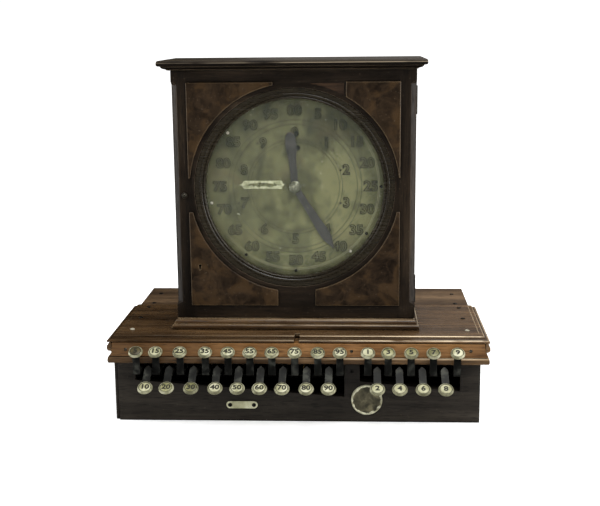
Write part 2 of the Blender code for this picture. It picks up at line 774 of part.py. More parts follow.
def build_bail(name, bar, arms, reach):
    """A bar under the key levers, carried on the key rod by an arm at each end."""
    bail = drum(name, bar, BAIL_BAR_RADIUS, reach[0], reach[1], 12, "X")
    bore = circle((ROD_DEPTH, ROD_HEIGHT), ROD_BORE, ROD_SIDES)
    for side, left in zip(("left", "right"), arms):
        arm = plate(name + "_" + side + "_arm", [arm_outline(bar), bore], left, left + BAIL_ARM, "X")
        join(bail, arm)
    finish(bail, DARK_STEEL)
    set_pivot(bail, place((reach[0] + reach[1]) / 2, ROD_DEPTH, ROD_HEIGHT))


def build_rack(name, front, radius, bar, yoke, low_tooth, high_tooth):
    """A sliding rod, with a yoke for the bail's bar at its foot and teeth for the hand's pinion on top."""
    module = 2 * radius / PINION_TEETH
    pitch = math.pi * module
    line = DIAL_X + radius
    tip = line - 0.8 * module
    root = line + 1.1 * module
    slope = math.tan(math.radians(20))
    half_tip = 0.20 * pitch - 0.8 * module * slope
    half_root = 0.20 * pitch + 1.1 * module * slope
    edge = []
    for i in range(low_tooth, high_tooth + 1):
        z = DIAL_Z + i * pitch
        edge += [(root, z - half_root), (tip, z - half_tip), (tip, z + half_tip), (root, z + half_root)]
    bottom = edge[0][1] - 1.5
    top = edge[-1][1] + 1.5
    outline = [(RACK_RIGHT, bottom), (root, bottom)] + edge + [(root, top), (RACK_RIGHT, top)]
    rack = plate(name, [outline], front, front + RACK_THICKNESS, "Y")
    foot = bar[1]
    depth = (front, front + RACK_THICKNESS)
    rod = block(name + "_rod", (RACK_LEFT, RACK_RIGHT), depth, (foot + 4, bottom + 6))
    join(rack, rod)
    inner = BAIL_BAR_RADIUS + 0.35
    wall = 2.0
    claw = [
        (yoke[0], foot - inner - wall),
        (yoke[1], foot - inner - wall),
        (yoke[1], foot - inner),
        (yoke[0] + wall, foot - inner),
        (yoke[0] + wall, foot + inner),
        (yoke[1], foot + inner),
        (yoke[1], foot + inner + wall),
        (yoke[0], foot + inner + wall),
    ]
    join(rack, plate(name + "_yoke", [claw], RACK_LEFT, RACK_RIGHT, "X"))
    finish(rack, BRASS)


def build_linkage():
    build_bail("cents_bail", CENTS_BAIL_BAR, CENTS_BAIL_ARMS, (-192.0, 58.0))
    build_bail("dollars_bail", DOLLARS_BAIL_BAR, DOLLARS_BAIL_ARMS, (2.0, 191.0))
    cents = (CENTS_PINION_RADIUS, CENTS_BAIL_BAR, (70.0, 82.0), -6, 8)
    build_rack("cents_rack", CENTS_RACK_FRONT, *cents)
    dollars = (DOLLARS_PINION_RADIUS, DOLLARS_BAIL_BAR, (57.1, 68.2), -2, 12)
    build_rack("dollars_rack", DOLLARS_RACK_FRONT, *dollars)

    comb = block("key_spring_comb", (-192, 192), (219.0, 225.2), (70.8, 73.6))
    for i, x in enumerate(sorted(CENTS_UPPER + CENTS_LOWER + DOLLARS_UPPER + DOLLARS_LOWER)):
        leaf = block("comb_leaf_%02d" % i, (x - 2, x + 2), (203.0, 220.0), (69.3, 70.1))
        foot = block("comb_foot_%02d" % i, (x - 2, x + 2), (219.2, 220.8), (69.3, 71.4))
        join(comb, foot)
        join(comb, leaf)
    finish(comb, BRIGHT_STEEL)


def build_badges():
    profile = [
        (1.0, -1.6),
        (15.6, -1.6),
        (16.4, -2.6),
        (17.2, -2.4),
        (MEDALLION_RADIUS, -1.4),
        (MEDALLION_RADIUS, -GAP),
        (1.0, -GAP),
    ]
    medallion = turned("medallion", MEDALLION, profile, 36)
    join(medallion, drum("medallion_core", MEDALLION, 2.0, -1.55, -GAP - 0.05, 12, "Y"))
    finish(medallion, NICKEL)
    x, z = PLATE
    outline = arc((x + 13.7, z), 4.25, -90, 90, 6) + arc((x - 13.7, z), 4.25, 90, 270, 6)
    badge = plate("number_plate", [outline], -1.4, -GAP, "Y")
    finish(badge, IVORY)


clear_scene()
PARTS = new_collection("dial_cash_register")
CUTTERS = new_collection("cutters")
CUTTERS.hide_render = True
build_box()
build_ledge()
build_deck()
case_carcass = build_case()
door_frame = build_door()
build_spandrels()
build_hinges(door_frame, case_carcass)
build_dial()
build_hands()
build_keys()
build_linkage()
build_badges()
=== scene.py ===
"""Looks for the dial cash register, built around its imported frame.

Lengths are in millimetres and depths run back from the front face of the box, as in the CAD.
place() turns them into metres in the row frame. Colours are given as they look on a screen, 0 to 255.
"""

import json
import math
import random

import bmesh
import bpy
from mathutils import Matrix, Vector


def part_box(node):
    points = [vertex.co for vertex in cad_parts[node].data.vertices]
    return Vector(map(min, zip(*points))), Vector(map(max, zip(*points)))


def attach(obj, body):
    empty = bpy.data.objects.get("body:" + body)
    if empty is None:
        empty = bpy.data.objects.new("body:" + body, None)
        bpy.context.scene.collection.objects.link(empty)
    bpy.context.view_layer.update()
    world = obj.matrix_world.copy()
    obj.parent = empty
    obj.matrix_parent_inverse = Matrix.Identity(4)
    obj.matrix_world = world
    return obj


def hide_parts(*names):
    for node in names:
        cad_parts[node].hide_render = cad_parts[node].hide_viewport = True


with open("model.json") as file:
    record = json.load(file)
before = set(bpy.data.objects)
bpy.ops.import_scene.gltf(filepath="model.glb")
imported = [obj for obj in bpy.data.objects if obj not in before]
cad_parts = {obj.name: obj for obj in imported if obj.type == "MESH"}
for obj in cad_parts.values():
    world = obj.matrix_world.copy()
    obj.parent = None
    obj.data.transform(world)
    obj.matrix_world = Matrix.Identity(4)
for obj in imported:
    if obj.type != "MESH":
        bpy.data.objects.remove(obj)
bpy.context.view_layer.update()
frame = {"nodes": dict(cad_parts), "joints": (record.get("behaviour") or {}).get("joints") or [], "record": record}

NODES = frame["nodes"]
BODIES = frame["record"]["behaviour"]["bodies"]
JOINTS = {joint["name"]: joint for joint in frame["joints"]}
SLOTS = {row["node"]: row["material_slot"] for row in frame["record"]["subparts"]}

MM = 0.001
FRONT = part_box("base_front")[0].y
HUB_X = JOINTS["cents_hand_turn"]["pos_m"][0] / MM
HUB_Z = JOINTS["cents_hand_turn"]["pos_m"][2] / MM

# Camera, matched to the photograph
CAMERA_PLACE = (0.0657, -1.30275, 0.4388)
CAMERA_YAW = 0.052
CAMERA_PITCH = 0.2014
CAMERA_ROLL = -0.0098
CAMERA_LENS = 65.53
CAMERA_SENSOR = 36.0

# Studio, in metres and watts: name, place, width and height, power
LIGHT_TARGET = (0.0, 0.0, 0.2)
SURROUND = 1.05
FLOOR_GLOW = 0.3
SOFTBOXES = (
    ("light_top", (0.35, -0.5, 1.6), (1.2, 0.9), 16.0),
    ("light_right", (1.7, -0.5, 0.8), (0.7, 1.4), 14.0),
    ("light_left", (-1.6, -0.3, 0.7), (0.6, 1.2), 7.0),
    ("light_back", (0.5, 1.6, 0.9), (1.6, 0.8), 1.5),
    ("light_edge_left", (-1.45, 0.12, 0.2), (0.5, 0.8), 3.5),
    ("light_edge_right", (1.5, 0.0, 0.2), (0.5, 0.8), 5.0),
)

# Case and deck
DECK_TOP = 100.5
CASE_MIDDLE = -3.6
CASE_HALF = 136.8
STILE_WIDTH = 22.0
DOOR_FRONT = 35.2
DECK_SCREWS = (
    (-193.0, 28.0), (-193.0, 80.0), (-193.0, 131.0), (-190.0, 152.0), (-190.0, 202.0),
    (193.0, 28.0), (193.0, 80.0), (193.0, 131.0), (190.0, 152.0), (190.0, 202.0),
)
PALE_SCREW_DEPTH = 30.0
RAIL_SCREWS = ((-193.7, 87.6), (61.2, 86.6), (193.6, 87.4))
RAIL_FACE = -10.7
POST_HOLE = (61.5, 59.2)
BOX_ROOM_HALF = 196.0

# Radii of screw heads
DECK_SCREW = 2.6
RAIL_SCREW = 1.7
POST_SCREW = 1.9
DIAL_SCREW = 1.8
PLATE_SCREW = 2.4

# Where the upper right corner panel has lost its tip, from the hub: left and right, top, arc below
SCAR = (19.0, 56.4)
SCAR_STEPS = 12
SCAR_TOP = 118.2
SCAR_DEPTH = 0.18
SPANDREL_ARC = 118.3

# Dial
DIAL_FACE = 53.8
FACE_RADIUS = 111.6
RING_RADII = (50.9, 54.3, 71.3, 76.3)
FAINT_RING_RADII = (95.2, 96.8)
OUTER_NUMERAL_RADIUS = 86.5
INNER_NUMERAL_RADIUS = 61.5
FACE_LIFT = 0.02
NUMERAL_LIFT = 0.25
NUMERAL_HEIGHT = 11.0
NUMERAL_STRETCH = (1.05, 1.0)
NUMERAL_BOLD = 0.3
NUMERAL_LINE = 0.5
FIGURE_SHARE = 0.7
OPENING_RADIUS = 101.0
ROUND_SIDES = 144
BEZEL_RADIUS = 113.0
SCREW_CIRCLE = 98.2
BAR_SHIFT = 1.6
DOT_LEFT = 6.5
DOT_PROFILE = ((0.0, 0.05), (1.0, 0.05), (1.2, -0.05))
DIAL_PITS = ((3.4, 44.5, 3.2), (1.6, 60.5, 3.4))
BRIGHT_SCREW_ANGLES = (-50.8, -101.0, 140.0)
DARK_SCREW_ANGLES = (216.0, 180.0, 123.7, 90.0)

# Hands: a blade's rows are distances from the hub and half widths, and its depths are front and back
CENTS_ANGLE = 148.0
HAND_PIN_RADIUS = 27.0
CENTS_BLADE = (
    (0, 3.6), (14, 3.9), (28, 4.3), (40, 4.8), (50, 5.3), (58, 5.7),
    (66, 5.5), (70, 5.0), (74, 3.8), (78, 2.3), (82.8, 0.3),
)
CENTS_DEPTHS = (49.6, 50.8)
CENTS_ARBOR = 50.6
CENTS_HUB = 50.7
DOLLARS_ANGLE = -5.0
DOLLARS_BLADE = (
    (0, 3.8), (10, 4.1), (18, 4.2), (30, 4.2), (36, 4.9), (42, 5.9), (50, 6.4),
    (56, 6.0), (60, 4.7), (62.8, 2.5),
)
DOLLARS_DEPTHS = (51.45, 52.5)
DOLLARS_ARBOR = 52.3
DOLLARS_COLLAR = 52.7

# Keys: a cap is its depth, height and radius
CAP_TILT = math.radians(30.0)
UPPER_CAP = (-22.0, 88.2, 8.1)
LOWER_CAP = (-45.0, 54.0, 8.5)
CAP_SIDES = 32
KEY_FIGURE = 6.3
KEY_FIGURE_LIFT = 1.78
KEY_FIGURE_STRETCH = (1.08, 1.0)
KEY_FIGURE_BOLD = 0.32
STRIP_HALF = 4.0
STRIP_THICKNESS = 2.2
UPPER_STRIP_DEPTH = -19.7
UPPER_STRIP_HEIGHTS = (61.5, 70.0, 87.6)
LOWER_STRIP_TIP = (-17.9, 70.4)
LOWER_STRIP_LEAN = math.radians(32.3)

# The part of a CAD lever that is kept lies behind a depth and between two heights. A key of the upper
# row starts above UPPER_KEY_LOW.
UPPER_CUT = -19.0
LOWER_CUT = -24.0
LEVER_LOW = 56.5
LEVER_HIGH = 66.5
UPPER_KEY_LOW = 52.0

# Badges
MEDALLION = (78.3, 26.6)
MEDALLION_RADIUS = 17.7
PLATE = (-64.0, 19.5)
PLATE_FACE = -1.35
PLATE_SCREW_OUT = 13.7

# Points closer than WELD, in metres, are one; faces that meet at less than FLAT_ANGLE are one; a face
# whose normal leans to the side by more than SIDEWAYS is a side of the box.
WELD = 2e-6
FLAT_ANGLE = math.radians(0.6)
SIDEWAYS = 0.7

# A surface's normal and the way up on it
FRONTWARD = ((0, -1, 0), (0, 0, 1))
UPWARD = ((0, 0, 1), (0, 1, 0))


# Places, colours and node trees

def place(x, depth, z):
    """A point of the row frame from millimetres behind the front face of the box."""
    return Vector((x * MM, FRONT + depth * MM, z * MM))


def facing(point, normal, up):
    """A matrix whose Z axis is the normal and whose Y axis points up along the surface."""
    out = Vector(normal).normalized()
    side = Vector(up).cross(out).normalized()
    rise = out.cross(side)
    matrix = Matrix((side, rise, out)).transposed().to_4x4()
    matrix.translation = point
    return matrix


def front_matrix(x, z, depth):
    """A matrix on an upright surface that faces the operator."""
    return facing(place(x, depth, z), *FRONTWARD)


def srgb(red, green, blue):
    """A linear colour from the values a screen shows."""
    values = []
    for value in (red, green, blue):
        share = value / 255
        values.append(share / 12.92 if share <= 0.04045 else ((share + 0.055) / 1.055) ** 2.4)
    return (*values, 1.0)


def palette(*rows):
    return tuple(srgb(*row) for row in rows)


def shade(colour, factor):
    return (*(value * factor for value in colour[:3]), 1.0)


def new_material(name):
    material = bpy.data.materials.new(name)
    material.use_nodes = True
    return material, material.node_tree, material.node_tree.nodes["Principled BSDF"]


def feed(tree, socket, value):
    if isinstance(value, bpy.types.NodeSocket):
        tree.links.new(value, socket)
    else:
        socket.default_value = value


def add(tree, kind, inputs, **settings):
    node = tree.nodes.new("ShaderNode" + kind)
    for key, value in settings.items():
        setattr(node, key, value)
    for key, value in inputs.items():
        feed(tree, node.inputs[key], value)
    return node


def calc(tree, operation, a, b=0.0):
    return add(tree, "Math", {0: a, 1: b}, operation=operation).outputs[0]


def times(tree, a, b):
    return calc(tree, "MULTIPLY", a, b)


def plus(tree, a, b):
    return calc(tree, "ADD", a, b)


def blended(tree, *parts):
    """The sum of several values, each with its weight."""
    total, weight = parts[0]
    total = times(tree, total, weight)
    for value, weight in parts[1:]:
        total = plus(tree, total, times(tree, value, weight))
    return total


def vector_calc(tree, operation, a, b):
    return add(tree, "VectorMath", {0: a, 1: b}, operation=operation).outputs[0]


def object_point(tree):
    return add(tree, "TexCoord", {}).outputs["Object"]


def part_of(tree, vector, axis):
    """One coordinate of a vector: 0 for X, 2 for Z."""
    return add(tree, "SeparateXYZ", {0: vector}).outputs[axis]


def from_centre(tree, x, z):
    """The way and the distance, in metres, from a place given in millimetres, seen square on."""
    flat = vector_calc(tree, "MULTIPLY", object_point(tree), (1.0, 0.0, 1.0))
    offset = vector_calc(tree, "SUBTRACT", flat, (x * MM, 0.0, z * MM))
    return offset, add(tree, "VectorMath", {0: offset}, operation="LENGTH").outputs["Value"]


def mix(tree, share, a, b, blend="MIX"):
    node = add(tree, "Mix", {}, data_type="RGBA", blend_type=blend)
    for index, value in ((0, share), (6, a), (7, b)):
        feed(tree, node.inputs[index], value)
    return node.outputs[2]


def between(tree, value, low, high):
    """0 where the value is at low, 1 where it is at high, and eased between them."""
    inputs = {"Value": value, "From Min": low, "From Max": high}
    return add(tree, "MapRange", inputs, interpolation_type="SMOOTHSTEP").outputs[0]


def ramp(tree, value, stops):
    stops = list(stops)
    node = add(tree, "ValToRGB", {"Fac": value})
    elements = node.color_ramp.elements
    while len(elements) < len(stops):
        elements.new(0.5)
    for element, (position, colour) in zip(elements, stops):
        element.position = position
        element.color = colour
    return node.outputs["Color"]


def coordinates(tree, stretch=(1.0, 1.0, 1.0), shift=0.0):
    place_in = (shift, shift * 1.7, shift * 0.6)
    inputs = {"Vector": object_point(tree), "Location": place_in, "Scale": stretch}
    return add(tree, "Mapping", inputs).outputs[0]


def noise(tree, vector, scale, detail=2.0, distortion=0.0, roughness=0.5):
    inputs = {"Vector": vector, "Scale": scale, "Detail": detail}
    inputs |= {"Roughness": roughness, "Distortion": distortion}
    return add(tree, "TexNoise", inputs).outputs["Fac"]


def cloud(tree, shift, scale, *rest):
    """Noise over the object, shifted so that no two finishes share a pattern."""
    return noise(tree, coordinates(tree, shift=shift), scale, *rest)


def specks(tree, scale, rarity, shift=0.0):
    """1 on small scattered spots: dust, flecks and pits."""
    return between(tree, cloud(tree, shift, scale, 1.0), rarity, rarity + 0.04)


def edge_mask(tree, width):
    """1 along outer edges, found by how far a rounded normal leans from the true one."""
    rounded = add(tree, "Bevel", {"Radius": width * MM}, samples=4).outputs[0]
    true = add(tree, "NewGeometry", {}).outputs["Normal"]
    lean = add(tree, "VectorMath", {0: rounded, 1: true}, operation="DOT_PRODUCT").outputs["Value"]
    return between(tree, lean, 0.995, 0.90)


def coat(tree, shader, colour, value, spread, base):
    """Feeds the colour, and a roughness that varies by the spread about the value."""
    feed(tree, shader.inputs["Base Color"], colour)
    feed(tree, shader.inputs["Roughness"], plus(tree, times(tree, value, spread), base))


def lay(tree, colour, mask, amount, tone):
    """A tone laid over the colour where the mask is, at the given strength."""
    return mix(tree, times(tree, mask, amount), colour, tone)


def bump(tree, shader, height, distance, strength=1.0):
    inputs = {"Height": height, "Distance": distance * MM, "Strength": strength}
    feed(tree, shader.inputs["Normal"], add(tree, "Bump", inputs).outputs[0])


# Materials

DUST = srgb(142, 126, 102)
RUBBED_WOOD = srgb(92, 80, 64)
BURL_EDGE_WEAR_AND_HIGHLIGHT = srgb(128, 110, 84)
DIAL_TONES = palette((64, 66, 41), (91, 93, 60), (118, 118, 77))
DIAL_LIGHT_WAY = (6.0, 0.0, -7.0)
DIAL_PAINTED_SHADE = (0.66, 0.66, 0.66, 1.0)
DIAL_BROWN = srgb(92, 80, 55)
DIAL_DIRT_AND_SHADE = srgb(60, 58, 44)
DIAL_RING_HIGHLIGHT = srgb(168, 166, 132)
DIAL_GLINT = srgb(190, 190, 165)
RING_DIRT = srgb(50, 50, 36)
WOOD_SCALE = 34.0
GRAIN = {"X": (0.05, 1.0, 1.0), "Y": (1.0, 0.05, 1.0), "Z": (1.0, 1.0, 0.05)}


def wood_figure(tree, grain, seed):
    """Broad figure, fine fibre and open pores along one grain direction."""
    vector = coordinates(tree, GRAIN[grain], seed)
    broad = noise(tree, vector, WOOD_SCALE, 3.0, 0.8)
    fibre = noise(tree, vector, WOOD_SCALE * 12, 4.0, 0.2, 0.65)
    pores = noise(tree, vector, WOOD_SCALE * 42, 1.0)
    return broad, fibre, pores


def along_x(tree, stops):
    """A factor that changes from left to right: stops hold X in millimetres and the factor there."""
    x = part_of(tree, object_point(tree), 0)
    low = stops[0][0]
    span = stops[-1][0] - low
    share = calc(tree, "DIVIDE", calc(tree, "SUBTRACT", x, low * MM), span * MM)
    return ramp(tree, share, [((at - low) / span, (factor, factor, factor, 1.0)) for at, factor in stops])


def up_mask(tree):
    """1 on surfaces that face up."""
    normal = add(tree, "NewGeometry", {}).outputs["Normal"]
    return between(tree, part_of(tree, normal, 2), 0.75, 0.95)


def rubbed_lines(tree, colour, lines):
    """Bands of colour at given heights: painted highlights along the crests of mouldings and painted shade in
    their crevices and under them.

    Each line holds its low and high Z in millimetres, its colour and its fade from left to right.
    """
    z = part_of(tree, object_point(tree), 2)
    ragged = between(tree, noise(tree, coordinates(tree, (0.25, 1.0, 1.0)), 60.0, 3.0), 0.3, 0.5)
    for low, high, tone, fade in lines:
        above = calc(tree, "GREATER_THAN", z, low * MM)
        inside = times(tree, above, calc(tree, "LESS_THAN", z, high * MM))
        share = times(tree, times(tree, inside, ragged), along_x(tree, fade))
        colour = mix(tree, share, colour, tone)
    return colour


def finish_wood(
    tree, shader, figure, tones, seed, gloss=0.42, shine=0.22, worn=None, wear=0.5, dust=0.08, spread=0.13,
    fade=None, dusty=0.0, lines=(),
):
    """Colours the figure and adds pores, rubbed edges (on rounded noses also a painted highlight), specks, settled
    dust, painted shade with dirt in the corners, painted light from left to right, and painted highlight and shade
    lines.
    """
    broad, fibre, pores = figure
    blotch = cloud(tree, seed + 3.0, 11.0, 3.0)
    value = blended(tree, (broad, 0.45), (fibre, 0.30), (blotch, 0.25))
    colour = ramp(tree, value, zip((0.5 - spread, 0.5, 0.5 + spread), tones))
    pore_mask = times(tree, between(tree, pores, 0.56, 0.66), 0.55)
    colour = mix(tree, pore_mask, colour, shade(tones[0], 0.45))
    colour = lay(tree, colour, specks(tree, 420.0, 0.72, seed), dust, DUST)
    # Rubbed edges: wear, and on rounded noses a painted highlight.
    rubbed = times(tree, edge_mask(tree, 1.2), between(tree, blotch, 0.35, 0.6))
    colour = lay(tree, colour, rubbed, wear, worn or tones[2])
    if dusty:
        settled = mix(tree, between(tree, value, 0.42, 0.58), shade(DUST, 0.5), DUST)
        thick = times(tree, between(tree, fibre, 0.25, 0.6), dusty)
        colour = mix(tree, times(tree, up_mask(tree), thick), colour, settled)
    # Painted light and shade: the colour is scaled from left to right.
    if fade:
        colour = mix(tree, 1.0, colour, along_x(tree, fade), "MULTIPLY")
    # Painted shade, with some dirt: darker in corners and crevices, where other surfaces close in.
    open_share = add(tree, "AmbientOcclusion", {"Distance": 5.0 * MM}, samples=6).outputs["AO"]
    colour = mix(tree, between(tree, open_share, 0.3, 0.88), shade(tones[0], 0.35), colour)
    if lines:
        colour = rubbed_lines(tree, colour, lines)
    feed(tree, shader.inputs["Base Color"], colour)
    rough = plus(tree, times(tree, fibre, 0.3), gloss - 0.15)
    feed(tree, shader.inputs["Roughness"], plus(tree, rough, times(tree, pore_mask, 0.3)))
    shader.inputs["Specular IOR Level"].default_value = shine
    height = calc(tree, "SUBTRACT", times(tree, fibre, 0.4), pore_mask)
    bump(tree, shader, height, 0.12, 0.5)


def wood(name, tones, grain, seed, **finish):
    """Old varnished wood, with its figure and fibre along the grain."""
    material, tree, shader = new_material(name)
    finish_wood(tree, shader, wood_figure(tree, grain, seed), tones, seed, **finish)
    return material


def joined_wood(name, tones, seed, switch_x):
    """The door frame: upright grain in the stiles and level grain in the rails."""
    material, tree, shader = new_material(name)
    upright = wood_figure(tree, "Z", seed)
    level = wood_figure(tree, "X", seed + 5.0)
    x = part_of(tree, object_point(tree), 0)
    across = calc(tree, "ABSOLUTE", calc(tree, "SUBTRACT", x, CASE_MIDDLE * MM))
    stile = calc(tree, "GREATER_THAN", across, switch_x * MM)
    figure = tuple(mix(tree, stile, b, a) for a, b in zip(upright, level))
    finish_wood(tree, shader, figure, tones, seed, worn=RUBBED_WOOD, wear=0.8)
    return material


def burl(name, tones, seed):
    """Burl veneer: swirled figure with small eyes, under worn shellac, with pale edges that are rubbed and painted
    as highlights.
    """
    material, tree, shader = new_material(name)
    base = coordinates(tree, shift=seed)
    inputs = {"Vector": base, "Scale": 30.0, "Detail": 3.0, "Distortion": 1.5}
    swirl = add(tree, "TexNoise", inputs).outputs["Color"]
    inputs = {0: swirl, 1: (0.05, 0.05, 0.05), 2: base}
    warped = add(tree, "VectorMath", inputs, operation="MULTIPLY_ADD").outputs[0]
    figure = noise(tree, warped, 60.0, 5.0, 1.2, 0.6)
    eyes = add(tree, "TexVoronoi", {"Vector": warped, "Scale": 170.0}).outputs["Distance"]
    patch = cloud(tree, seed + 7.0, 44.0, 5.0, 0.8)
    value = blended(tree, (figure, 0.65), (patch, 0.35))
    colour = ramp(tree, value, zip((0.38, 0.5, 0.62), tones))
    colour = lay(tree, colour, between(tree, patch, 0.5, 0.66), 0.6, tones[3])
    colour = lay(tree, colour, between(tree, eyes, 0.18, 0.05), 0.6, shade(tones[0], 0.5))
    colour = lay(tree, colour, specks(tree, 380.0, 0.72, seed), 0.1, DUST)
    # Pale edges: wear, and a painted highlight where the raised panels catch the light.
    colour = lay(tree, colour, edge_mask(tree, 1.3), 0.75, BURL_EDGE_WEAR_AND_HIGHLIGHT)
    coat(tree, shader, colour, figure, 0.3, 0.25)
    shader.inputs["Specular IOR Level"].default_value = 0.22
    bump(tree, shader, figure, 0.1, 0.4)
    return material


def dial_patina(name):
    """Tarnished silvered brass, with painted shade at the upper left and round the rim under the bezel, and darker
    where its rings hold dirt.
    """
    material, tree, shader = new_material(name)
    offset, radius = from_centre(tree, HUB_X, HUB_Z)
    broad = cloud(tree, 2.0, 13.0, 4.0, 0.4)
    fine = cloud(tree, 4.0, 120.0, 4.0, 0.3, 0.65)
    smear = noise(tree, coordinates(tree, (1.0, 1.0, 0.35), 6.0), 40.0, 3.0, 0.7)
    value = blended(tree, (broad, 0.44), (fine, 0.28), (smear, 0.28))
    colour = ramp(tree, value, zip((0.41, 0.5, 0.59), DIAL_TONES))
    # Painted shade: darker towards the upper left, away from the light.
    inputs = {0: offset, 1: DIAL_LIGHT_WAY}
    lean = add(tree, "VectorMath", inputs, operation="DOT_PRODUCT").outputs["Value"]
    upper_left_shade = mix(tree, 1.0, colour, DIAL_PAINTED_SHADE, "MULTIPLY")
    colour = mix(tree, between(tree, lean, 0.9, -0.9), colour, upper_left_shade)
    brown = between(tree, cloud(tree, 9.0, 22.0, 4.0, 0.8), 0.56, 0.72)
    colour = lay(tree, colour, brown, 0.35, DIAL_BROWN)
    for ring in RING_RADII:
        gap = calc(tree, "ABSOLUTE", calc(tree, "SUBTRACT", radius, ring * MM))
        colour = lay(tree, colour, between(tree, gap, 0.7 * MM, 0.2 * MM), 0.6, RING_DIRT)
    # Painted highlights on the faint outer rings, on the side that faces the light.
    for ring in FAINT_RING_RADII:
        gap = calc(tree, "ABSOLUTE", calc(tree, "SUBTRACT", radius, ring * MM))
        share = times(tree, between(tree, gap, 0.6 * MM, 0.1 * MM), between(tree, lean, -0.4, 0.5))
        colour = lay(tree, colour, share, 0.5, DIAL_RING_HIGHLIGHT)
    # Painted shade: darker towards the rim, under the bezel.
    colour = lay(tree, colour, between(tree, radius, 94.0 * MM, 104.0 * MM), 0.35, DIAL_DIRT_AND_SHADE)
    colour = lay(tree, colour, specks(tree, 260.0, 0.70, 1.0), 0.4, DIAL_DIRT_AND_SHADE)
    colour = lay(tree, colour, specks(tree, 300.0, 0.76, 5.0), 0.7, DIAL_GLINT)
    coat(tree, shader, colour, fine, 0.3, 0.38)
    shader.inputs["Metallic"].default_value = 0.15
    bump(tree, shader, fine, 0.05, 0.3)
    return material


def metal(name, tones, seed, roughness=0.38, metallic=0.6, scale=90.0, wear=0.6):
    """Aged metal: mottled tarnish, rubbed bright along its edges."""
    material, tree, shader = new_material(name)
    mottle = cloud(tree, seed, scale, 4.0, 0.3, 0.6)
    fine = cloud(tree, seed + 1.0, scale * 8, 3.0)
    colour = ramp(tree, mottle, zip((0.36, 0.52, 0.66), tones))
    colour = lay(tree, colour, edge_mask(tree, 0.5), wear, tones[2])
    coat(tree, shader, colour, mottle, 0.3, roughness - 0.15)
    shader.inputs["Metallic"].default_value = metallic
    bump(tree, shader, plus(tree, fine, mottle), 0.04, 0.35)
    return material


def enamel(name, tones, seed, stain=0.35):
    """Cream enamel or paper label, yellowed and stained in patches."""
    material, tree, shader = new_material(name)
    patch = cloud(tree, seed, 70.0, 4.0, 0.8)
    fine = cloud(tree, seed + 2.0, 600.0, 3.0)
    colour = ramp(tree, patch, zip((0.36, 0.5, 0.64), tones))
    colour = lay(tree, colour, specks(tree, 700.0, 0.66, seed), stain, shade(tones[0], 0.35))
    coat(tree, shader, colour, fine, 0.2, 0.32)
    bump(tree, shader, fine, 0.03, 0.4)
    return material


def ink(name, colour, seed):
    material, tree, shader = new_material(name)
    worn = cloud(tree, seed, 500.0, 3.0)
    coat(tree, shader, ramp(tree, worn, [(0.4, colour), (0.7, shade(colour, 1.9))]), worn, 0.3, 0.45)
    bump(tree, shader, worn, 0.02, 0.3)
    return material


def clear_glass(name):
    material, tree, shader = new_material(name)
    smudge = cloud(tree, 1.0, 16.0, 3.0)
    shader.inputs["Base Color"].default_value = srgb(225, 232, 225)
    feed(tree, shader.inputs["Alpha"], plus(tree, times(tree, smudge, 0.012), 0.002))
    feed(tree, shader.inputs["Roughness"], plus(tree, times(tree, smudge, 0.1), 0.05))
    shader.inputs["Specular IOR Level"].default_value = 0.2
    return material


# Shapes

def new_object(name, shape, *materials):
    """Turns a bmesh into an object with the materials in its slots."""
    bmesh.ops.recalc_face_normals(shape, faces=shape.faces)
    mesh = bpy.data.meshes.new(name)
    shape.to_mesh(mesh)
    shape.free()
    for material in materials:
        mesh.materials.append(material)
    item = bpy.data.objects.new(name, mesh)
    bpy.context.scene.collection.objects.link(item)
    return item


def smooth(item, angle=35.0):
    """Shades smoothly, and keeps every edge sharper than the angle crisp."""
    item.data.shade_smooth()
    item.data.set_sharp_from_angle(angle=math.radians(angle))


def apply_modifiers(item):
    graph = bpy.context.evaluated_depsgraph_get()
    mesh = bpy.data.meshes.new_from_object(item.evaluated_get(graph))
    item.modifiers.clear()
    item.data = mesh


def rounded(item, width, segments=2, angle=35.0):
    """Rounds the edges of a piece over."""
    step = item.modifiers.new("rounded", "BEVEL")
    step.width = width * MM
    step.segments = segments
    step.limit_method = "ANGLE"
    step.angle_limit = math.radians(angle)
    step.harden_normals = False
    apply_modifiers(item)
    smooth(item)


def carve(item, *cutters):
    for cutter in cutters:
        step = item.modifiers.new(cutter.name, "BOOLEAN")
        step.operation = "DIFFERENCE"
        step.solver = "EXACT"
        step.object = cutter
    apply_modifiers(item)
    for cutter in cutters:
        bpy.data.objects.remove(cutter, do_unlink=True)


def fit(item, body, slot, *nodes):
    """Sets the body a piece rides on and hides the CAD nodes it stands for; the slot is not used."""
    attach(item, body)
    if nodes:
        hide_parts(*nodes)
    return item


def body_of(node):
    return next(body for body, members in BODIES.items() if node in members)


def finish_node(node, material):
    """Gives a CAD node that stays as it is its material."""
    NODES[node].data.materials.clear()
    NODES[node].data.materials.append(material)


def node_shape(node):
    shape = bmesh.new()
    shape.from_mesh(NODES[node].data)
    bmesh.ops.remove_doubles(shape, verts=shape.verts, dist=WELD)
    return shape


def behind(node, depth):
    """The part of a CAD node that lies behind a depth, open where it was cut."""
    shape = node_shape(node)
    bmesh.ops.bisect_plane(
        shape, geom=shape.verts[:] + shape.edges[:] + shape.faces[:],
        plane_co=place(0, depth, 0), plane_no=(0, 1, 0), clear_inner=True)
    return shape


def close_holes(shape):
    bmesh.ops.holes_fill(shape, edges=[edge for edge in shape.edges if edge.is_boundary])


def bridge(shape, rings):
    """Skins rings of points, each with the same number, and closes both ends."""
    rings = [[shape.verts.new(point) for point in ring] for ring in rings]
    count = len(rings[0])
    for near, far in zip(rings, rings[1:]):
        for i in range(count):
            j = (i + 1) % count
            shape.faces.new([near[i], near[j], far[j], far[i]])
    shape.faces.new(rings[0])
    shape.faces.new(rings[-1])


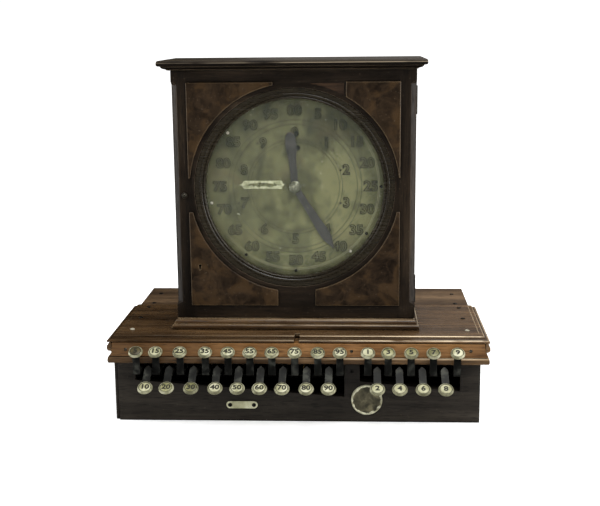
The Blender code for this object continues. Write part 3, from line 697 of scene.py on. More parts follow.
def face_size(node):
    """The middle of a CAD node and half its width and height in millimetres."""
    low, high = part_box(node)
    return (low + high) / 2, (high.x - low.x) / 2 / MM, (high.z - low.z) / 2 / MM


def stand_in(item, node):
    """Puts a piece in a CAD node's place, on its body."""
    return fit(item, body_of(node), SLOTS[node], node)


def refined(node, material, width=0.5, segments=2, angle=35.0):
    """Takes a CAD node's place with its own shape, clean faces and rounded edges."""
    shape = node_shape(node)
    bmesh.ops.dissolve_limit(shape, angle_limit=FLAT_ANGLE, verts=shape.verts, edges=shape.edges)
    item = new_object(node + "_piece", shape, material)
    rounded(item, width, segments, angle)
    return stand_in(item, node)


def block(name, x, depth, z):
    shape = bmesh.new()
    corners = []
    for height in z:
        for i, j in ((0, 0), (1, 0), (1, 1), (0, 1)):
            corners.append(shape.verts.new(place(x[i], depth[j], height)))
    for quad in ((3, 2, 1, 0), (4, 5, 6, 7), (0, 1, 5, 4), (1, 2, 6, 5), (2, 3, 7, 6), (3, 0, 4, 7)):
        shape.faces.new([corners[i] for i in quad])
    return new_object(name, shape)


def eased(rows, sharp, steps=4):
    """A smooth curve through rows of numbers, with corners kept at the rows named sharp."""
    curve = []
    last = len(rows) - 1
    for i in range(last):
        before = rows[i] if i in sharp or i == 0 else rows[i - 1]
        after = rows[i + 1] if i + 1 in sharp or i + 1 == last else rows[i + 2]
        straight = i in sharp and i + 1 in sharp
        count = 1 if straight else steps
        for step in range(count):
            t = step / count
            point = []
            for p0, p1, p2, p3 in zip(before, rows[i], rows[i + 1], after):
                lean_in = (p2 - p0) / 2
                lean_out = (p3 - p1) / 2
                point.append(
                    (2 * t**3 - 3 * t**2 + 1) * p1
                    + (t**3 - 2 * t**2 + t) * lean_in
                    + (3 * t**2 - 2 * t**3) * p2
                    + (t**3 - t**2) * lean_out
                )
            curve.append(tuple(point))
    curve.append(tuple(rows[last]))
    return curve


def moulded(node, rows, sharp, material, cutters=()):
    """A board moulded on its left, front and right edges.

    Rows hold the side inset, the front inset and the height, all from the low front corner of the
    node's box. Its back is flat.
    """
    low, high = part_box(node)
    rings = []
    for side, front, height in eased(rows, sharp):
        z = low.z + height * MM
        left = low.x + side * MM
        right = high.x - side * MM
        near = low.y + front * MM
        rings.append([(left, high.y, z), (left, near, z), (right, near, z), (right, high.y, z)])
    shape = bmesh.new()
    bridge(shape, rings)
    item = new_object(node + "_piece", shape, material)
    if cutters:
        carve(item, *cutters)
    smooth(item, 30.0)
    return stand_in(item, node)


def lathe_into(shape, profile, matrix, sides, slot=0):
    """Turns a profile of radius and height, in millimetres, about the matrix's Z axis."""
    rings = []
    for radius, height in profile:
        if radius <= 0:
            rings.append([shape.verts.new(matrix @ Vector((0, 0, height * MM)))])
            continue
        ring = []
        for i in range(sides):
            turn = 2 * math.pi * i / sides
            point = Vector((radius * math.cos(turn) * MM, radius * math.sin(turn) * MM, height * MM))
            ring.append(shape.verts.new(matrix @ point))
        rings.append(ring)
    for lower, upper in zip(rings, rings[1:]):
        for i in range(sides):
            j = (i + 1) % sides
            if len(lower) == 1:
                corners = [lower[0], upper[j], upper[i]]
            elif len(upper) == 1:
                corners = [lower[i], lower[j], upper[0]]
            else:
                corners = [lower[i], lower[j], upper[j], upper[i]]
            face = shape.faces.new(corners)
            face.material_index = slot
    return shape


def turned(name, profile, matrix, sides, material, angle=35.0):
    shape = lathe_into(bmesh.new(), profile, matrix, sides)
    item = new_object(name, shape, material)
    smooth(item, angle)
    return item


def plate_into(shape, outline, low, high, matrix, slot=0):
    """A flat plate with the given outline, between two heights on the matrix's Z axis."""
    floor = [shape.verts.new(matrix @ Vector((u * MM, v * MM, low * MM))) for u, v in outline]
    roof = [shape.verts.new(matrix @ Vector((u * MM, v * MM, high * MM))) for u, v in outline]
    faces = [shape.faces.new(floor), shape.faces.new(roof)]
    for i in range(len(outline)):
        j = (i + 1) % len(outline)
        faces.append(shape.faces.new([floor[i], floor[j], roof[j], roof[i]]))
    for face in faces:
        face.material_index = slot
    return shape


def numeral_mesh(text, height, bold, outlined):
    """Raised figures, centred, with the given figure height in millimetres, filled in or as outlines."""
    curve = bpy.data.curves.new("figure_" + text, "FONT")
    curve.body = text
    curve.size = height * MM / FIGURE_SHARE
    curve.align_x = "CENTER"
    curve.align_y = "CENTER"
    curve.offset = bold * MM
    curve.resolution_u = 3
    if outlined:
        curve.fill_mode = "NONE"
        curve.bevel_depth = outlined * MM
        curve.bevel_resolution = 1
    else:
        curve.extrude = 0.06 * MM
    helper = bpy.data.objects.new("figure_helper", curve)
    bpy.context.scene.collection.objects.link(helper)
    graph = bpy.context.evaluated_depsgraph_get()
    mesh = bpy.data.meshes.new_from_object(helper.evaluated_get(graph))
    bpy.data.objects.remove(helper, do_unlink=True)
    return mesh


def write_into(shape, text, height, matrix, slot=0, stretch=(1.0, 1.0), bold=0.0, outlined=0.0):
    """Adds raised figures to a shape."""
    mesh = numeral_mesh(text, height, bold, outlined)
    mesh.transform(matrix @ Matrix.Diagonal((stretch[0], stretch[1], 1.0, 1.0)))
    first = len(shape.faces)
    shape.from_mesh(mesh)
    shape.faces.ensure_lookup_table()
    for face in shape.faces[first:]:
        face.material_index = slot
    bpy.data.meshes.remove(mesh)


# Screw heads, in shares of their radius
SCREW_PROFILE = (
    (0.0, 0.75), (0.35, 0.74), (0.7, 0.66), (0.92, 0.45), (1.0, 0.2), (1.0, -0.6), (0.0, -0.6),
)
SCREW_DOME = 0.55
SLOT_HALF = 0.13
SLOT_FLOOR = 0.12


def slotted_screw(name, matrix, radius, turn, material, slot):
    """A domed screw head in the cabinet, with a slot across it at the given turn in degrees."""
    profile = [(r * radius, h * radius * SCREW_DOME) for r, h in SCREW_PROFILE]
    item = turned(name, profile, matrix, 20, material)
    spun = matrix @ Matrix.Rotation(math.radians(turn), 4, "Z")
    half = radius * SLOT_HALF
    shape = bmesh.new()
    reach = radius * 1.3
    outline = [(-reach, -half), (reach, -half), (reach, half), (-reach, half)]
    plate_into(shape, outline, radius * SLOT_FLOOR, radius, spun)
    cutter = new_object(name + "_slot", shape)
    carve(item, cutter)
    smooth(item, 35.0)
    return fit(item, "cabinet", slot)


# The scene

def build_camera():
    ahead = Vector((
        -math.sin(CAMERA_YAW) * math.cos(CAMERA_PITCH),
        math.cos(CAMERA_YAW) * math.cos(CAMERA_PITCH),
        -math.sin(CAMERA_PITCH),
    ))
    side = ahead.cross(Vector((0, 0, 1))).normalized()
    rise = side.cross(ahead)
    level = side * math.cos(CAMERA_ROLL) + rise * math.sin(CAMERA_ROLL)
    upright = rise * math.cos(CAMERA_ROLL) - side * math.sin(CAMERA_ROLL)
    data = bpy.data.cameras.new("camera")
    data.lens = CAMERA_LENS
    data.sensor_fit = "HORIZONTAL"
    data.sensor_width = CAMERA_SENSOR
    data.clip_start = 0.05
    camera = bpy.data.objects.new("camera", data)
    matrix = Matrix((level, upright, -ahead)).transposed().to_4x4()
    matrix.translation = Vector(CAMERA_PLACE)
    camera.matrix_world = matrix
    bpy.context.scene.collection.objects.link(camera)
    bpy.context.scene.camera = camera


def softbox(name, point, size, power):
    data = bpy.data.lights.new(name, "AREA")
    data.shape = "RECTANGLE"
    data.size = size[0]
    data.size_y = size[1]
    data.energy = power
    lamp = bpy.data.objects.new(name, data)
    turn = (Vector(LIGHT_TARGET) - Vector(point)).to_track_quat("-Z", "Y")
    lamp.matrix_world = Matrix.Translation(Vector(point)) @ turn.to_matrix().to_4x4()
    lamp.visible_camera = False
    bpy.context.scene.collection.objects.link(lamp)


def build_studio():
    """A white floor that runs into a white surround, and soft light that is stronger from the right."""
    scene = bpy.context.scene
    scene.view_settings.view_transform = "Standard"
    world = bpy.data.worlds.new("surround")
    world.use_nodes = True
    background = world.node_tree.nodes["Background"]
    background.inputs["Color"].default_value = (1.0, 1.0, 1.0, 1.0)
    background.inputs["Strength"].default_value = SURROUND
    world.cycles_visibility.glossy = False
    scene.world = world

    material, tree, shader = new_material("studio_floor")
    paper = cloud(tree, 0.0, 40.0, 2.0)
    shader.inputs["Base Color"].default_value = (0.95, 0.95, 0.95, 1.0)
    feed(tree, shader.inputs["Roughness"], plus(tree, times(tree, paper, 0.1), 0.85))
    shader.inputs["Specular IOR Level"].default_value = 0.0
    shader.inputs["Emission Color"].default_value = (1.0, 1.0, 1.0, 1.0)
    shader.inputs["Emission Strength"].default_value = FLOOR_GLOW
    shape = bmesh.new()
    bmesh.ops.create_grid(shape, x_segments=1, y_segments=1, size=30.0)
    bmesh.ops.translate(shape, verts=shape.verts, vec=(0, 0, -0.0003))
    floor = new_object("studio_floor", shape, material)
    floor.visible_glossy = False

    for softbox_row in SOFTBOXES:
        softbox(*softbox_row)


# Finishes

DARK_TONES = palette((17, 11, 5), (31, 22, 12), (48, 36, 22))
CORNICE_TONES = palette((9, 5, 2), (17, 11, 6), (30, 21, 13))
BLACK_TONES = palette((32, 27, 21), (46, 40, 32), (59, 52, 42))
BEZEL_TONES = palette((24, 19, 12), (37, 32, 22), (52, 45, 33))
DECK_TONES = palette((60, 41, 22), (88, 62, 34), (116, 85, 50))
BACK_TONES = palette((70, 53, 36), (96, 75, 52), (122, 97, 69))
PLINTH_TONES = palette((30, 19, 9), (54, 37, 20), (82, 60, 34))
LEDGE_TONES = palette((78, 56, 33), (112, 84, 54), (142, 112, 77))
RAIL_TONES = palette((92, 60, 30), (138, 97, 54), (172, 127, 75))
BURL_TONES = palette((24, 15, 6), (39, 27, 13), (52, 37, 19), (60, 42, 19))
# Pale edge colour: wear, and on the rounded noses a painted highlight.
WORN_WOOD_AND_HIGHLIGHT = srgb(170, 146, 112)
# Painted highlights along the crests of the mouldings, and how they fade towards the left, away from the light.
PAINTED_HIGHLIGHT_WOOD = srgb(214, 194, 162)
NOSE_HIGHLIGHT_FADE = ((-215.0, 0.0), (-60.0, 0.06), (36.0, 0.35), (134.0, 0.85), (205.0, 0.95), (208.0, 0.3))
SOFT_HIGHLIGHT_FADE = ((-215.0, 0.0), (-60.0, 0.1), (36.0, 0.26), (205.0, 0.34), (208.0, 0.12))
EVEN_FADE = ((-215.0, 0.75), (215.0, 0.7))
CREST_HIGHLIGHT_FADE = ((-155.0, 0.08), (-50.0, 0.18), (20.0, 0.27), (145.0, 0.27))
# Deck: painted highlights on the two noses, and painted shade on the shelf between them and under the lower nose.
DECK_HIGHLIGHT_AND_SHADE_LINES = (
    (99.5, 100.12, PAINTED_HIGHLIGHT_WOOD, NOSE_HIGHLIGHT_FADE),
    (98.42, 98.75, srgb(44, 31, 18), EVEN_FADE),
    (97.8, 98.42, PAINTED_HIGHLIGHT_WOOD, NOSE_HIGHLIGHT_FADE),
    (95.3, 95.9, srgb(30, 19, 10), EVEN_FADE),
)
# Cornice: a paler band along its top, and a painted highlight on its crest.
CORNICE_BAND_AND_HIGHLIGHT = ((405.0, 407.2, srgb(53, 45, 34), EVEN_FADE), (403.8, 404.7, PAINTED_HIGHLIGHT_WOOD, CREST_HIGHLIGHT_FADE))
# Plinth: painted highlights on its two rounds, faded towards the left.
PLINTH_HIGHLIGHT_LINES = ((105.4, 106.0, PAINTED_HIGHLIGHT_WOOD, SOFT_HIGHLIGHT_FADE), (110.6, 111.5, PAINTED_HIGHLIGHT_WOOD, SOFT_HIGHLIGHT_FADE))
# Ledge: a painted highlight along the top of the bead, faded to the left, and painted shade on its lower part.
BEAD_HIGHLIGHT_FADE = ((-215.0, 0.02), (-120.0, 0.06), (-30.0, 0.25), (40.0, 0.4), (190.0, 0.45), (215.0, 0.2))
LEDGE_HIGHLIGHT_AND_SHADE_LINES = ((77.2, 79.2, PAINTED_HIGHLIGHT_WOOD, BEAD_HIGHLIGHT_FADE), (71.0, 76.4, srgb(52, 37, 21), EVEN_FADE))
# Painted light and shade from left to right on the front, deck, ledge and rail, mostly brighter towards the light
# at the right.
FRONT_PAINTED_LIGHT = ((-206.0, 0.85), (-60.0, 0.6), (40.0, 0.6), (206.0, 1.0))
DECK_PAINTED_LIGHT = ((-215.0, 0.48), (-60.0, 0.55), (60.0, 0.7), (215.0, 0.95))
BACK_FADE = ((-215.0, 0.85), (215.0, 0.9))
LEDGE_PAINTED_LIGHT = ((-215.0, 0.4), (-60.0, 0.75), (120.0, 1.0), (215.0, 0.7))
RAIL_PAINTED_LIGHT = ((-215.0, 0.3), (-120.0, 0.55), (-40.0, 0.8), (120.0, 0.88), (170.0, 0.75), (215.0, 0.45))

DARK_WALNUT_Z = wood("dark_walnut_z", DARK_TONES, "Z", 2.0)
CORNICE_WALNUT = wood(
    "cornice_walnut", CORNICE_TONES, "X", 12.5, worn=WORN_WOOD_AND_HIGHLIGHT, wear=0.2, dusty=0.3,
    lines=CORNICE_BAND_AND_HIGHLIGHT,
)
DOOR_WALNUT = joined_wood("door_walnut", DARK_TONES, 3.0, CASE_HALF - STILE_WIDTH)
BLACK_WALNUT = wood("black_walnut", BLACK_TONES, "X", 4.0, gloss=0.5, shine=0.3, fade=FRONT_PAINTED_LIGHT)
BEZEL_WALNUT = wood("bezel_walnut", BEZEL_TONES, "X", 5.0, gloss=0.26, shine=0.5, spread=0.3)
SIDE_WALNUT = wood("side_walnut", BLACK_TONES, "Y", 4.5, gloss=0.5, shine=0.3)
LEDGE_WALNUT = wood(
    "ledge_walnut", LEDGE_TONES, "X", 6.0, gloss=0.3, shine=0.3, worn=WORN_WOOD_AND_HIGHLIGHT, fade=LEDGE_PAINTED_LIGHT,
    lines=LEDGE_HIGHLIGHT_AND_SHADE_LINES,
)
DECK_WALNUT = wood(
    "deck_walnut", DECK_TONES, "X", 7.0, gloss=0.26, shine=0.3, worn=WORN_WOOD_AND_HIGHLIGHT, wear=0.6, spread=0.09,
    fade=DECK_PAINTED_LIGHT, dusty=0.12, lines=DECK_HIGHLIGHT_AND_SHADE_LINES,
)
BACK_WALNUT = wood("back_walnut", BACK_TONES, "X", 8.0, gloss=0.4, spread=0.1, fade=BACK_FADE)
PLINTH_WALNUT = wood(
    "plinth_walnut", PLINTH_TONES, "X", 9.0, gloss=0.26, shine=0.45, worn=WORN_WOOD_AND_HIGHLIGHT, wear=0.7, spread=0.09,
    lines=PLINTH_HIGHLIGHT_LINES,
)
RAIL_WOOD = wood("rail_wood", RAIL_TONES, "X", 10.0, gloss=0.42, wear=0.8, fade=RAIL_PAINTED_LIGHT)
SCAR_WOOD = wood("scar_wood", palette((28, 17, 8), (44, 29, 15), (62, 42, 22)), "X", 14.0, gloss=0.6)
BURLS = {
    corner: burl("burl_" + corner, BURL_TONES, 11.0 + i) for i, corner in enumerate(("ul", "ur", "ll", "lr"))
}
DIAL_METAL = dial_patina("dial_patina")
STEEL = metal("browned_steel", palette((17, 18, 15), (25, 26, 22), (62, 63, 56)), 20.0, 0.46, 0.4)
BRIGHT_TONES = palette((110, 110, 104), (150, 150, 142), (190, 190, 182))
BRIGHT_STEEL = metal("bright_steel", BRIGHT_TONES, 21.0, 0.34, 0.8)
HAND_METAL = metal("hand_metal", palette((54, 54, 49), (61, 61, 56), (70, 70, 64)), 22.0, 0.5, 0.1, 60.0, 0.3)
NICKEL = metal("key_nickel", palette((98, 96, 74), (134, 132, 104), (176, 174, 146)), 23.0, 0.34, 0.35)
HUB_NICKEL = metal("hub_nickel", palette((66, 68, 54), (104, 106, 88), (184, 186, 160)), 24.0, 0.3, 0.5)
BRASS = metal("aged_brass", palette((92, 76, 46), (140, 118, 74), (186, 160, 108)), 25.0, 0.36, 0.7)
DULL_METAL = metal("dull_metal", palette((32, 29, 24), (62, 58, 49), (140, 134, 118)), 29.0, 0.32, 0.7, 500.0)
SCREW_TONES = palette((120, 115, 98), (190, 185, 165), (236, 232, 216))
SCREW_METAL = metal("screw_metal", SCREW_TONES, 27.0, 0.32, 0.3, 500.0)
BLACK_SCREW = metal("black_screw", palette((12, 12, 11), (20, 19, 17), (56, 54, 48)), 28.0, 0.4, 0.5, 500.0)
LABEL = enamel("cream_label", palette((140, 138, 103), (166, 164, 131), (188, 186, 157)), 30.0)
OLIVE_LABEL = enamel("olive_label", palette((96, 94, 58), (126, 124, 84), (158, 156, 118)), 34.5, 0.6)
BROWN_LABEL = enamel("brown_label", palette((40, 34, 16), (54, 47, 26), (78, 70, 44)), 31.0)
PLATE_CREAM = enamel("plate_cream", palette((138, 137, 104), (159, 158, 126), (176, 175, 146)), 32.0)
LABEL_INK = ink("label_ink", srgb(26, 24, 14), 33.0)
DIAL_INK = ink("dial_ink", srgb(26, 28, 17), 34.0)
GLASS = clear_glass("pane")


# Woodwork

def build_woodwork():
    moulded(
        "cornice",
        [(12.0, 12.0, 0.0), (10.0, 10.0, 0.4), (9.4, 9.4, 1.2), (6.6, 6.6, 2.0), (4.6, 4.6, 3.2),
         (4.2, 4.2, 4.2), (3.8, 3.8, 4.6), (1.4, 1.4, 4.9), (0.2, 0.2, 5.9), (0.0, 0.0, 8.2),
         (0.6, 0.6, 10.2), (1.6, 1.6, 11.0)],
        (0, 2, 5, 6, 7, 11),
        CORNICE_WALNUT,
    )
    moulded(
        "plinth_moulding",
        [(0.4, 0.4, 0.0), (0.0, 0.0, 0.6), (0.0, 0.0, 3.6), (0.9, 0.9, 4.8), (2.8, 2.6, 5.4), (3.0, 2.8, 6.0),
         (3.0, 2.8, 7.6), (4.4, 4.0, 9.6), (6.6, 6.2, 10.6), (6.8, 6.4, 11.0), (6.8, 6.4, 12.0)],
        (0, 4, 5, 6, 9, 10),
        PLINTH_WALNUT,
        [block("plinth_room", (-120.4, 113.2), (49.2, 137.6), (95, 120))],
    )
    moulded(
        "front_deck",
        [(0.8, 0.8, 0.0), (0.1, 0.1, 0.5), (0.0, 0.0, 1.2), (0.1, 0.1, 1.9), (0.8, 0.8, 2.6), (2.0, 2.2, 2.9),
         (4.6, 13.2, 3.1), (4.7, 13.3, 3.9), (5.4, 14.4, 4.5), (7.5, 18.5, 4.85), (9.4, 23.2, 5.0)],
        (0, 5, 6, 10),
        DECK_WALNUT,
        [
            block("front_groove", (-205.3, 205.3), (14.0, 14.8), (100.0, 110)),
            block("left_groove", (-205.4, -204.8), (14.0, 200.0), (100.0, 110)),
            block("right_groove", (204.8, 205.4), (14.0, 200.0), (100.0, 110)),
            block("front_notch", (-3.5, 2.5), (-20, 15.0), (90, 110)),
            block("rack_slot", (3.0, 7.2), (59.3, 75.4), (90, 110)),
        ],
    )
    moulded(
        "ledge_moulding",
        [(2.1, 1.4, 0.0), (1.2, 0.5, 0.8), (0.8, 0.1, 2.0), (0.7, 0.0, 3.4), (0.9, 0.1, 5.4), (1.5, 0.2, 7.3),
         (2.5, 2.2, 7.9), (3.6, 2.2, 9.6), (4.6, 2.2, 11.6), (4.9, 2.2, 12.6), (4.9, 2.2, 13.5),
         (1.8, 2.2, 14.0), (0.4, 2.2, 15.4), (0.0, 2.2, 17.4), (0.4, 2.2, 19.8), (1.8, 2.2, 22.0),
         (2.9, 2.2, 23.8)],
        (0, 5, 6, 9, 10, 11, 16),
        LEDGE_WALNUT,
        [
            block("ledge_room", (-BOX_ROOM_HALF, BOX_ROOM_HALF), (12.0, 200.0), (60, 110)),
            block("rail_seat", (-210.5, 210.5), (-30, 0), (83.0, 110)),
            block("rail_foot_seat", (-240, 240), (-30, 0), (79.3, 84.0)),
        ],
    )
    moulded(
        "front_rail",
        [(0.0, 0.6, 0.0), (0.0, 0.0, 0.6), (0.3, 0.0, 1.2), (1.6, 0.1, 3.2), (2.4, 0.3, 4.1), (2.4, 0.3, 6.0),
         (3.0, 0.3, 10.0), (3.6, 0.3, 15.6)],
        (0, 4, 5, 7),
        RAIL_WOOD,
    )
    refined("back_deck", BACK_WALNUT, 0.9, 3)
    refined("base_front", BLACK_WALNUT, 0.6)
    carcass = refined("base_carcass", BLACK_WALNUT, 0.6)
    carcass.data.materials.append(SIDE_WALNUT)
    for face in carcass.data.polygons:
        face.material_index = 1 if abs(face.normal.x) > SIDEWAYS else 0
    refined("case_carcass", DARK_WALNUT_Z, 0.6)
    refined("door_frame", DOOR_WALNUT, 0.5)
    for corner, material in BURLS.items():
        refined("spandrel_" + corner, material, 0.45, 2, 25.0)

    build_scar()


def build_scar():
    """The bare patch on the door where the upper right corner panel has lost its tip."""
    outline = []
    for i in range(SCAR_STEPS + 1):
        u = SCAR[0] + (SCAR[1] - SCAR[0]) * i / SCAR_STEPS
        ragged = random.uniform(-0.5, 0.5)
        outline.append((u, math.sqrt(SPANDREL_ARC**2 - u**2) + 0.8 + ragged * (1.0 if i else 0.0)))
    outline += [(SCAR[1], SCAR_TOP), (SCAR[0] + 4.0, SCAR_TOP)]
    shape = plate_into(bmesh.new(), outline, 0.0, SCAR_DEPTH, front_matrix(HUB_X, HUB_Z, DOOR_FRONT))
    scar = new_object("spandrel_scar", shape, SCAR_WOOD)
    fit(scar, "door", SLOTS["spandrel_ur"])


def build_bezel():
    """The ring round the dial: two fine beads at its mouth and a flat outside them."""
    low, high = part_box("bezel_ring")
    matrix = front_matrix(HUB_X, HUB_Z, 0.0)
    front = -(low.y - FRONT) / MM
    back = -(high.y - FRONT) / MM
    inner = OPENING_RADIUS
    profile = [
        (inner, back), (inner, front - 2.4), (inner + 0.4, front - 1.4), (inner + 1.0, front - 0.8),
        (inner + 1.6, front - 0.7), (inner + 2.3, front - 1.0), (inner + 3.0, front - 1.8),
        (inner + 3.6, front - 0.9), (inner + 4.4, front - 0.2), (inner + 5.4, front),
        (inner + 6.2, front - 0.3), (inner + 6.8, front - 1.1), (inner + 7.4, front - 0.7),
        (BEZEL_RADIUS - 0.6, front - 0.6), (BEZEL_RADIUS, front - 1.1), (BEZEL_RADIUS, back), (inner, back),
    ]
    stand_in(turned("bezel_ring_piece", profile, matrix, ROUND_SIDES, BEZEL_WALNUT), "bezel_ring")


# Dial

def on_dial(angle, radius):
    """A point on the dial, with the angle clockwise from the top."""
    turn = math.radians(angle)
    return HUB_X + radius * math.sin(turn), HUB_Z + radius * math.cos(turn)


def build_dial():
    profile = [(2.3, 0.0), (2.3, 0.2)]
    for ring in RING_RADII:
        profile += [(ring - 0.45, 0.2), (ring - 0.15, 0.06), (ring + 0.15, 0.06), (ring + 0.45, 0.2)]
    profile += [(FACE_RADIUS - 0.3, 0.2), (FACE_RADIUS, 0.0), (2.3, 0.0)]
    matrix = front_matrix(HUB_X, HUB_Z, DIAL_FACE - FACE_LIFT)
    face = turned("dial_face", profile, matrix, ROUND_SIDES, DIAL_METAL, 20.0)
    fit(face, "cabinet", "dial_metal")
    finish_node("dial_plate", BRASS)

    shape = bmesh.new()
    surface = DIAL_FACE - NUMERAL_LIFT
    style = (0, NUMERAL_STRETCH, NUMERAL_BOLD, NUMERAL_LINE)
    for i in range(20):
        x, z = on_dial(18.0 * i, OUTER_NUMERAL_RADIUS)
        text = "00" if i == 0 else str(5 * i)
        write_into(shape, text, NUMERAL_HEIGHT, front_matrix(x, z, surface), *style)
    for i in range(10):
        x, z = on_dial(36.0 * i, INNER_NUMERAL_RADIUS)
        write_into(shape, str(i), NUMERAL_HEIGHT, front_matrix(x, z, surface), *style)
        lathe_into(shape, DOT_PROFILE, front_matrix(x - DOT_LEFT, z, surface), 12)
    numerals = new_object("dial_numerals", shape, DIAL_INK)
    fit(numerals, "cabinet", "dial_metal")

    for i, angle in enumerate(BRIGHT_SCREW_ANGLES + DARK_SCREW_ANGLES):
        x, z = on_dial(angle, SCREW_CIRCLE)
        look = SCREW_METAL if angle in BRIGHT_SCREW_ANGLES else BLACK_SCREW
        matrix = front_matrix(x, z, surface)
        slotted_screw(f"dial_screw_{i + 1}", matrix, DIAL_SCREW, 37.0 * i, look, "dial_metal")
    for i, (across, up, radius) in enumerate(DIAL_PITS):
        matrix = front_matrix(HUB_X + across, HUB_Z + up, surface)
        profile = [(0.0, 0.1), (radius - 0.4, 0.1), (radius, -0.1)]
        pit = turned(f"dial_pit_{i + 1}", profile, matrix, 24, DIAL_INK)
        fit(pit, "cabinet", "dial_metal")


def build_name_bar():
    """The cream bar on the dial, drawn in to a narrow tip at each end."""
    middle, half, tall = face_size("name_bar")
    upper = [
        (-half, 0.8), (-half + 3.2, 1.4), (-half + 4.4, tall - 0.8), (-half + 6.0, tall),
        (half - 2.6, tall), (half - 1.8, 1.3), (half, 0.5),
    ]
    outline = upper + [(u, -v) for u, v in reversed(upper)]
    shape = plate_into(bmesh.new(), outline, -0.28, 0.28, facing(middle, *FRONTWARD))
    look = name_bar_enamel(middle + Vector((BAR_SHIFT * MM, 0, 0)), half - BAR_SHIFT)
    bar = new_object("name_bar_piece", shape, look)
    rounded(bar, 0.15)
    stand_in(bar, "name_bar")


def name_bar_enamel(middle, half):
    """Cream enamel, rubbed through to olive metal in a long oval."""
    material, tree, shader = new_material("name_bar_enamel")
    offset = vector_calc(tree, "SUBTRACT", object_point(tree), middle)
    scaled = vector_calc(tree, "MULTIPLY", offset, (1 / (half * 0.78 * MM), 0.0, 1 / (2.6 * MM)))
    reach = add(tree, "VectorMath", {0: scaled}, operation="LENGTH").outputs["Value"]
    ragged = cloud(tree, 0.0, 260.0, 4.0)
    reach = plus(tree, reach, times(tree, ragged, 0.9))
    cream = ramp(tree, ragged, zip((0.38, 0.62), palette((126, 130, 96), (166, 168, 137))))
    olive = ramp(tree, ragged, zip((0.38, 0.62), palette((70, 72, 45), (100, 102, 66))))
    coat(tree, shader, mix(tree, between(tree, reach, 1.5, 1.15), cream, olive), ragged, 0.3, 0.3)
    bump(tree, shader, ragged, 0.05, 0.4)
    return material


def blade(name, angle, half_widths, depths):
    """A hand's blade, with a slight crown along its middle."""
    low, high = depths
    section = (
        (-1, high), (-1, low + 0.35), (-0.75, low + 0.08), (0, low),
        (0.75, low + 0.08), (1, low + 0.35), (1, high),
    )
    turn = math.radians(angle)
    along = Vector((math.sin(turn), 0, math.cos(turn)))
    across = Vector((math.cos(turn), 0, -math.sin(turn)))
    rings = []
    for distance, half in eased([tuple(map(float, row)) for row in half_widths], (), 5):
        middle = place(HUB_X, 0, HUB_Z) + along * distance * MM
        rings.append([
            middle + across * half * share * MM + Vector((0, depth * MM, 0)) for share, depth in section
        ])
    shape = bmesh.new()
    bridge(shape, rings)
    item = new_object(name, shape, HAND_METAL)
    smooth(item, 30.0)
    return item


def rear_of(node, name, depth, material):
    """A hand's arbor and pinion: what lies behind its blade."""
    shape = behind(node, depth)
    close_holes(shape)
    item = new_object(name, shape, material)
    smooth(item, 30.0)
    return item


def build_hands():
    stand_in(blade("cents_blade", CENTS_ANGLE, CENTS_BLADE, CENTS_DEPTHS), "cents_hand")
    slot = SLOTS["cents_hand"]
    fit(rear_of("cents_hand", "cents_arbor", CENTS_ARBOR, BRASS), "cents_hand", slot)
    hub_profile = [
        (0.0, 2.35), (1.5, 2.3), (1.9, 1.8), (2.4, 1.8), (2.8, 2.2), (4.0, 2.15), (4.5, 1.6),
        (5.1, 1.6), (5.6, 1.9), (6.5, 1.6), (7.0, 1.0), (7.0, 0.2), (0.0, 0.2),
    ]
    x, z = on_dial(CENTS_ANGLE, HAND_PIN_RADIUS)
    pin_profile = [(0.0, 0.35), (0.7, 0.3), (0.9, 0.0)]
    pin = turned("hand_pin", pin_profile, front_matrix(x, z, CENTS_DEPTHS[0]), 16, HUB_NICKEL)
    fit(pin, "cents_hand", slot)
    hub = turned("cents_hub", hub_profile, front_matrix(HUB_X, HUB_Z, CENTS_HUB), 48, HUB_NICKEL)
    fit(hub, "cents_hand", slot)

    stand_in(blade("dollars_blade", DOLLARS_ANGLE, DOLLARS_BLADE, DOLLARS_DEPTHS), "dollars_hand")
    slot = SLOTS["dollars_hand"]
    fit(rear_of("dollars_hand", "dollars_arbor", DOLLARS_ARBOR, BRASS), "dollars_hand", slot)
    collar_profile = [(2.1, 0.3), (3.9, 0.3), (4.2, 0.5), (4.4, 0.9), (4.4, 1.5), (2.1, 1.5)]
    matrix = front_matrix(HUB_X, HUB_Z, DOLLARS_COLLAR)
    collar = turned("dollars_collar", collar_profile, matrix, 40, HUB_NICKEL)
    fit(collar, "dollars_hand", slot)


# Keys

def cap_into(shape, x, cap, text):
    """A cap: a stepped nickel rim in slot 1, a label in slot 2, and a dark groove and figures in slot 3."""
    depth, height, radius = cap
    normal = (0, -math.sin(CAP_TILT), math.cos(CAP_TILT))
    matrix = facing(place(x, depth, height), normal, (0, math.cos(CAP_TILT), math.sin(CAP_TILT)))
    rim = [
        (0.0, -2.0), (radius - 1.6, -2.0), (radius - 0.3, -1.5), (radius, -0.9), (radius, -0.2),
        (radius - 0.2, 0.25), (radius - 0.6, 0.45), (radius - 0.65, 1.0), (radius - 0.85, 1.6),
        (radius - 1.15, 1.85), (radius - 1.45, 1.6), (radius - 1.5, 1.3),
    ]
    groove = [(radius - 1.5, 1.3), (radius - 1.6, 0.6), (radius - 2.1, 0.6), (radius - 2.2, 1.2)]
    label = [(radius - 2.2, 1.2), (radius - 2.5, 1.5), (radius - 5.2, 1.68), (0.0, 1.75)]
    for profile, slot in ((rim, 1), (groove, 3), (label, 2)):
        lathe_into(shape, profile, matrix, CAP_SIDES, slot)
    on_label = matrix @ Matrix.Translation((0, 0, KEY_FIGURE_LIFT * MM))
    write_into(shape, text, KEY_FIGURE, on_label, 3, KEY_FIGURE_STRETCH, KEY_FIGURE_BOLD)


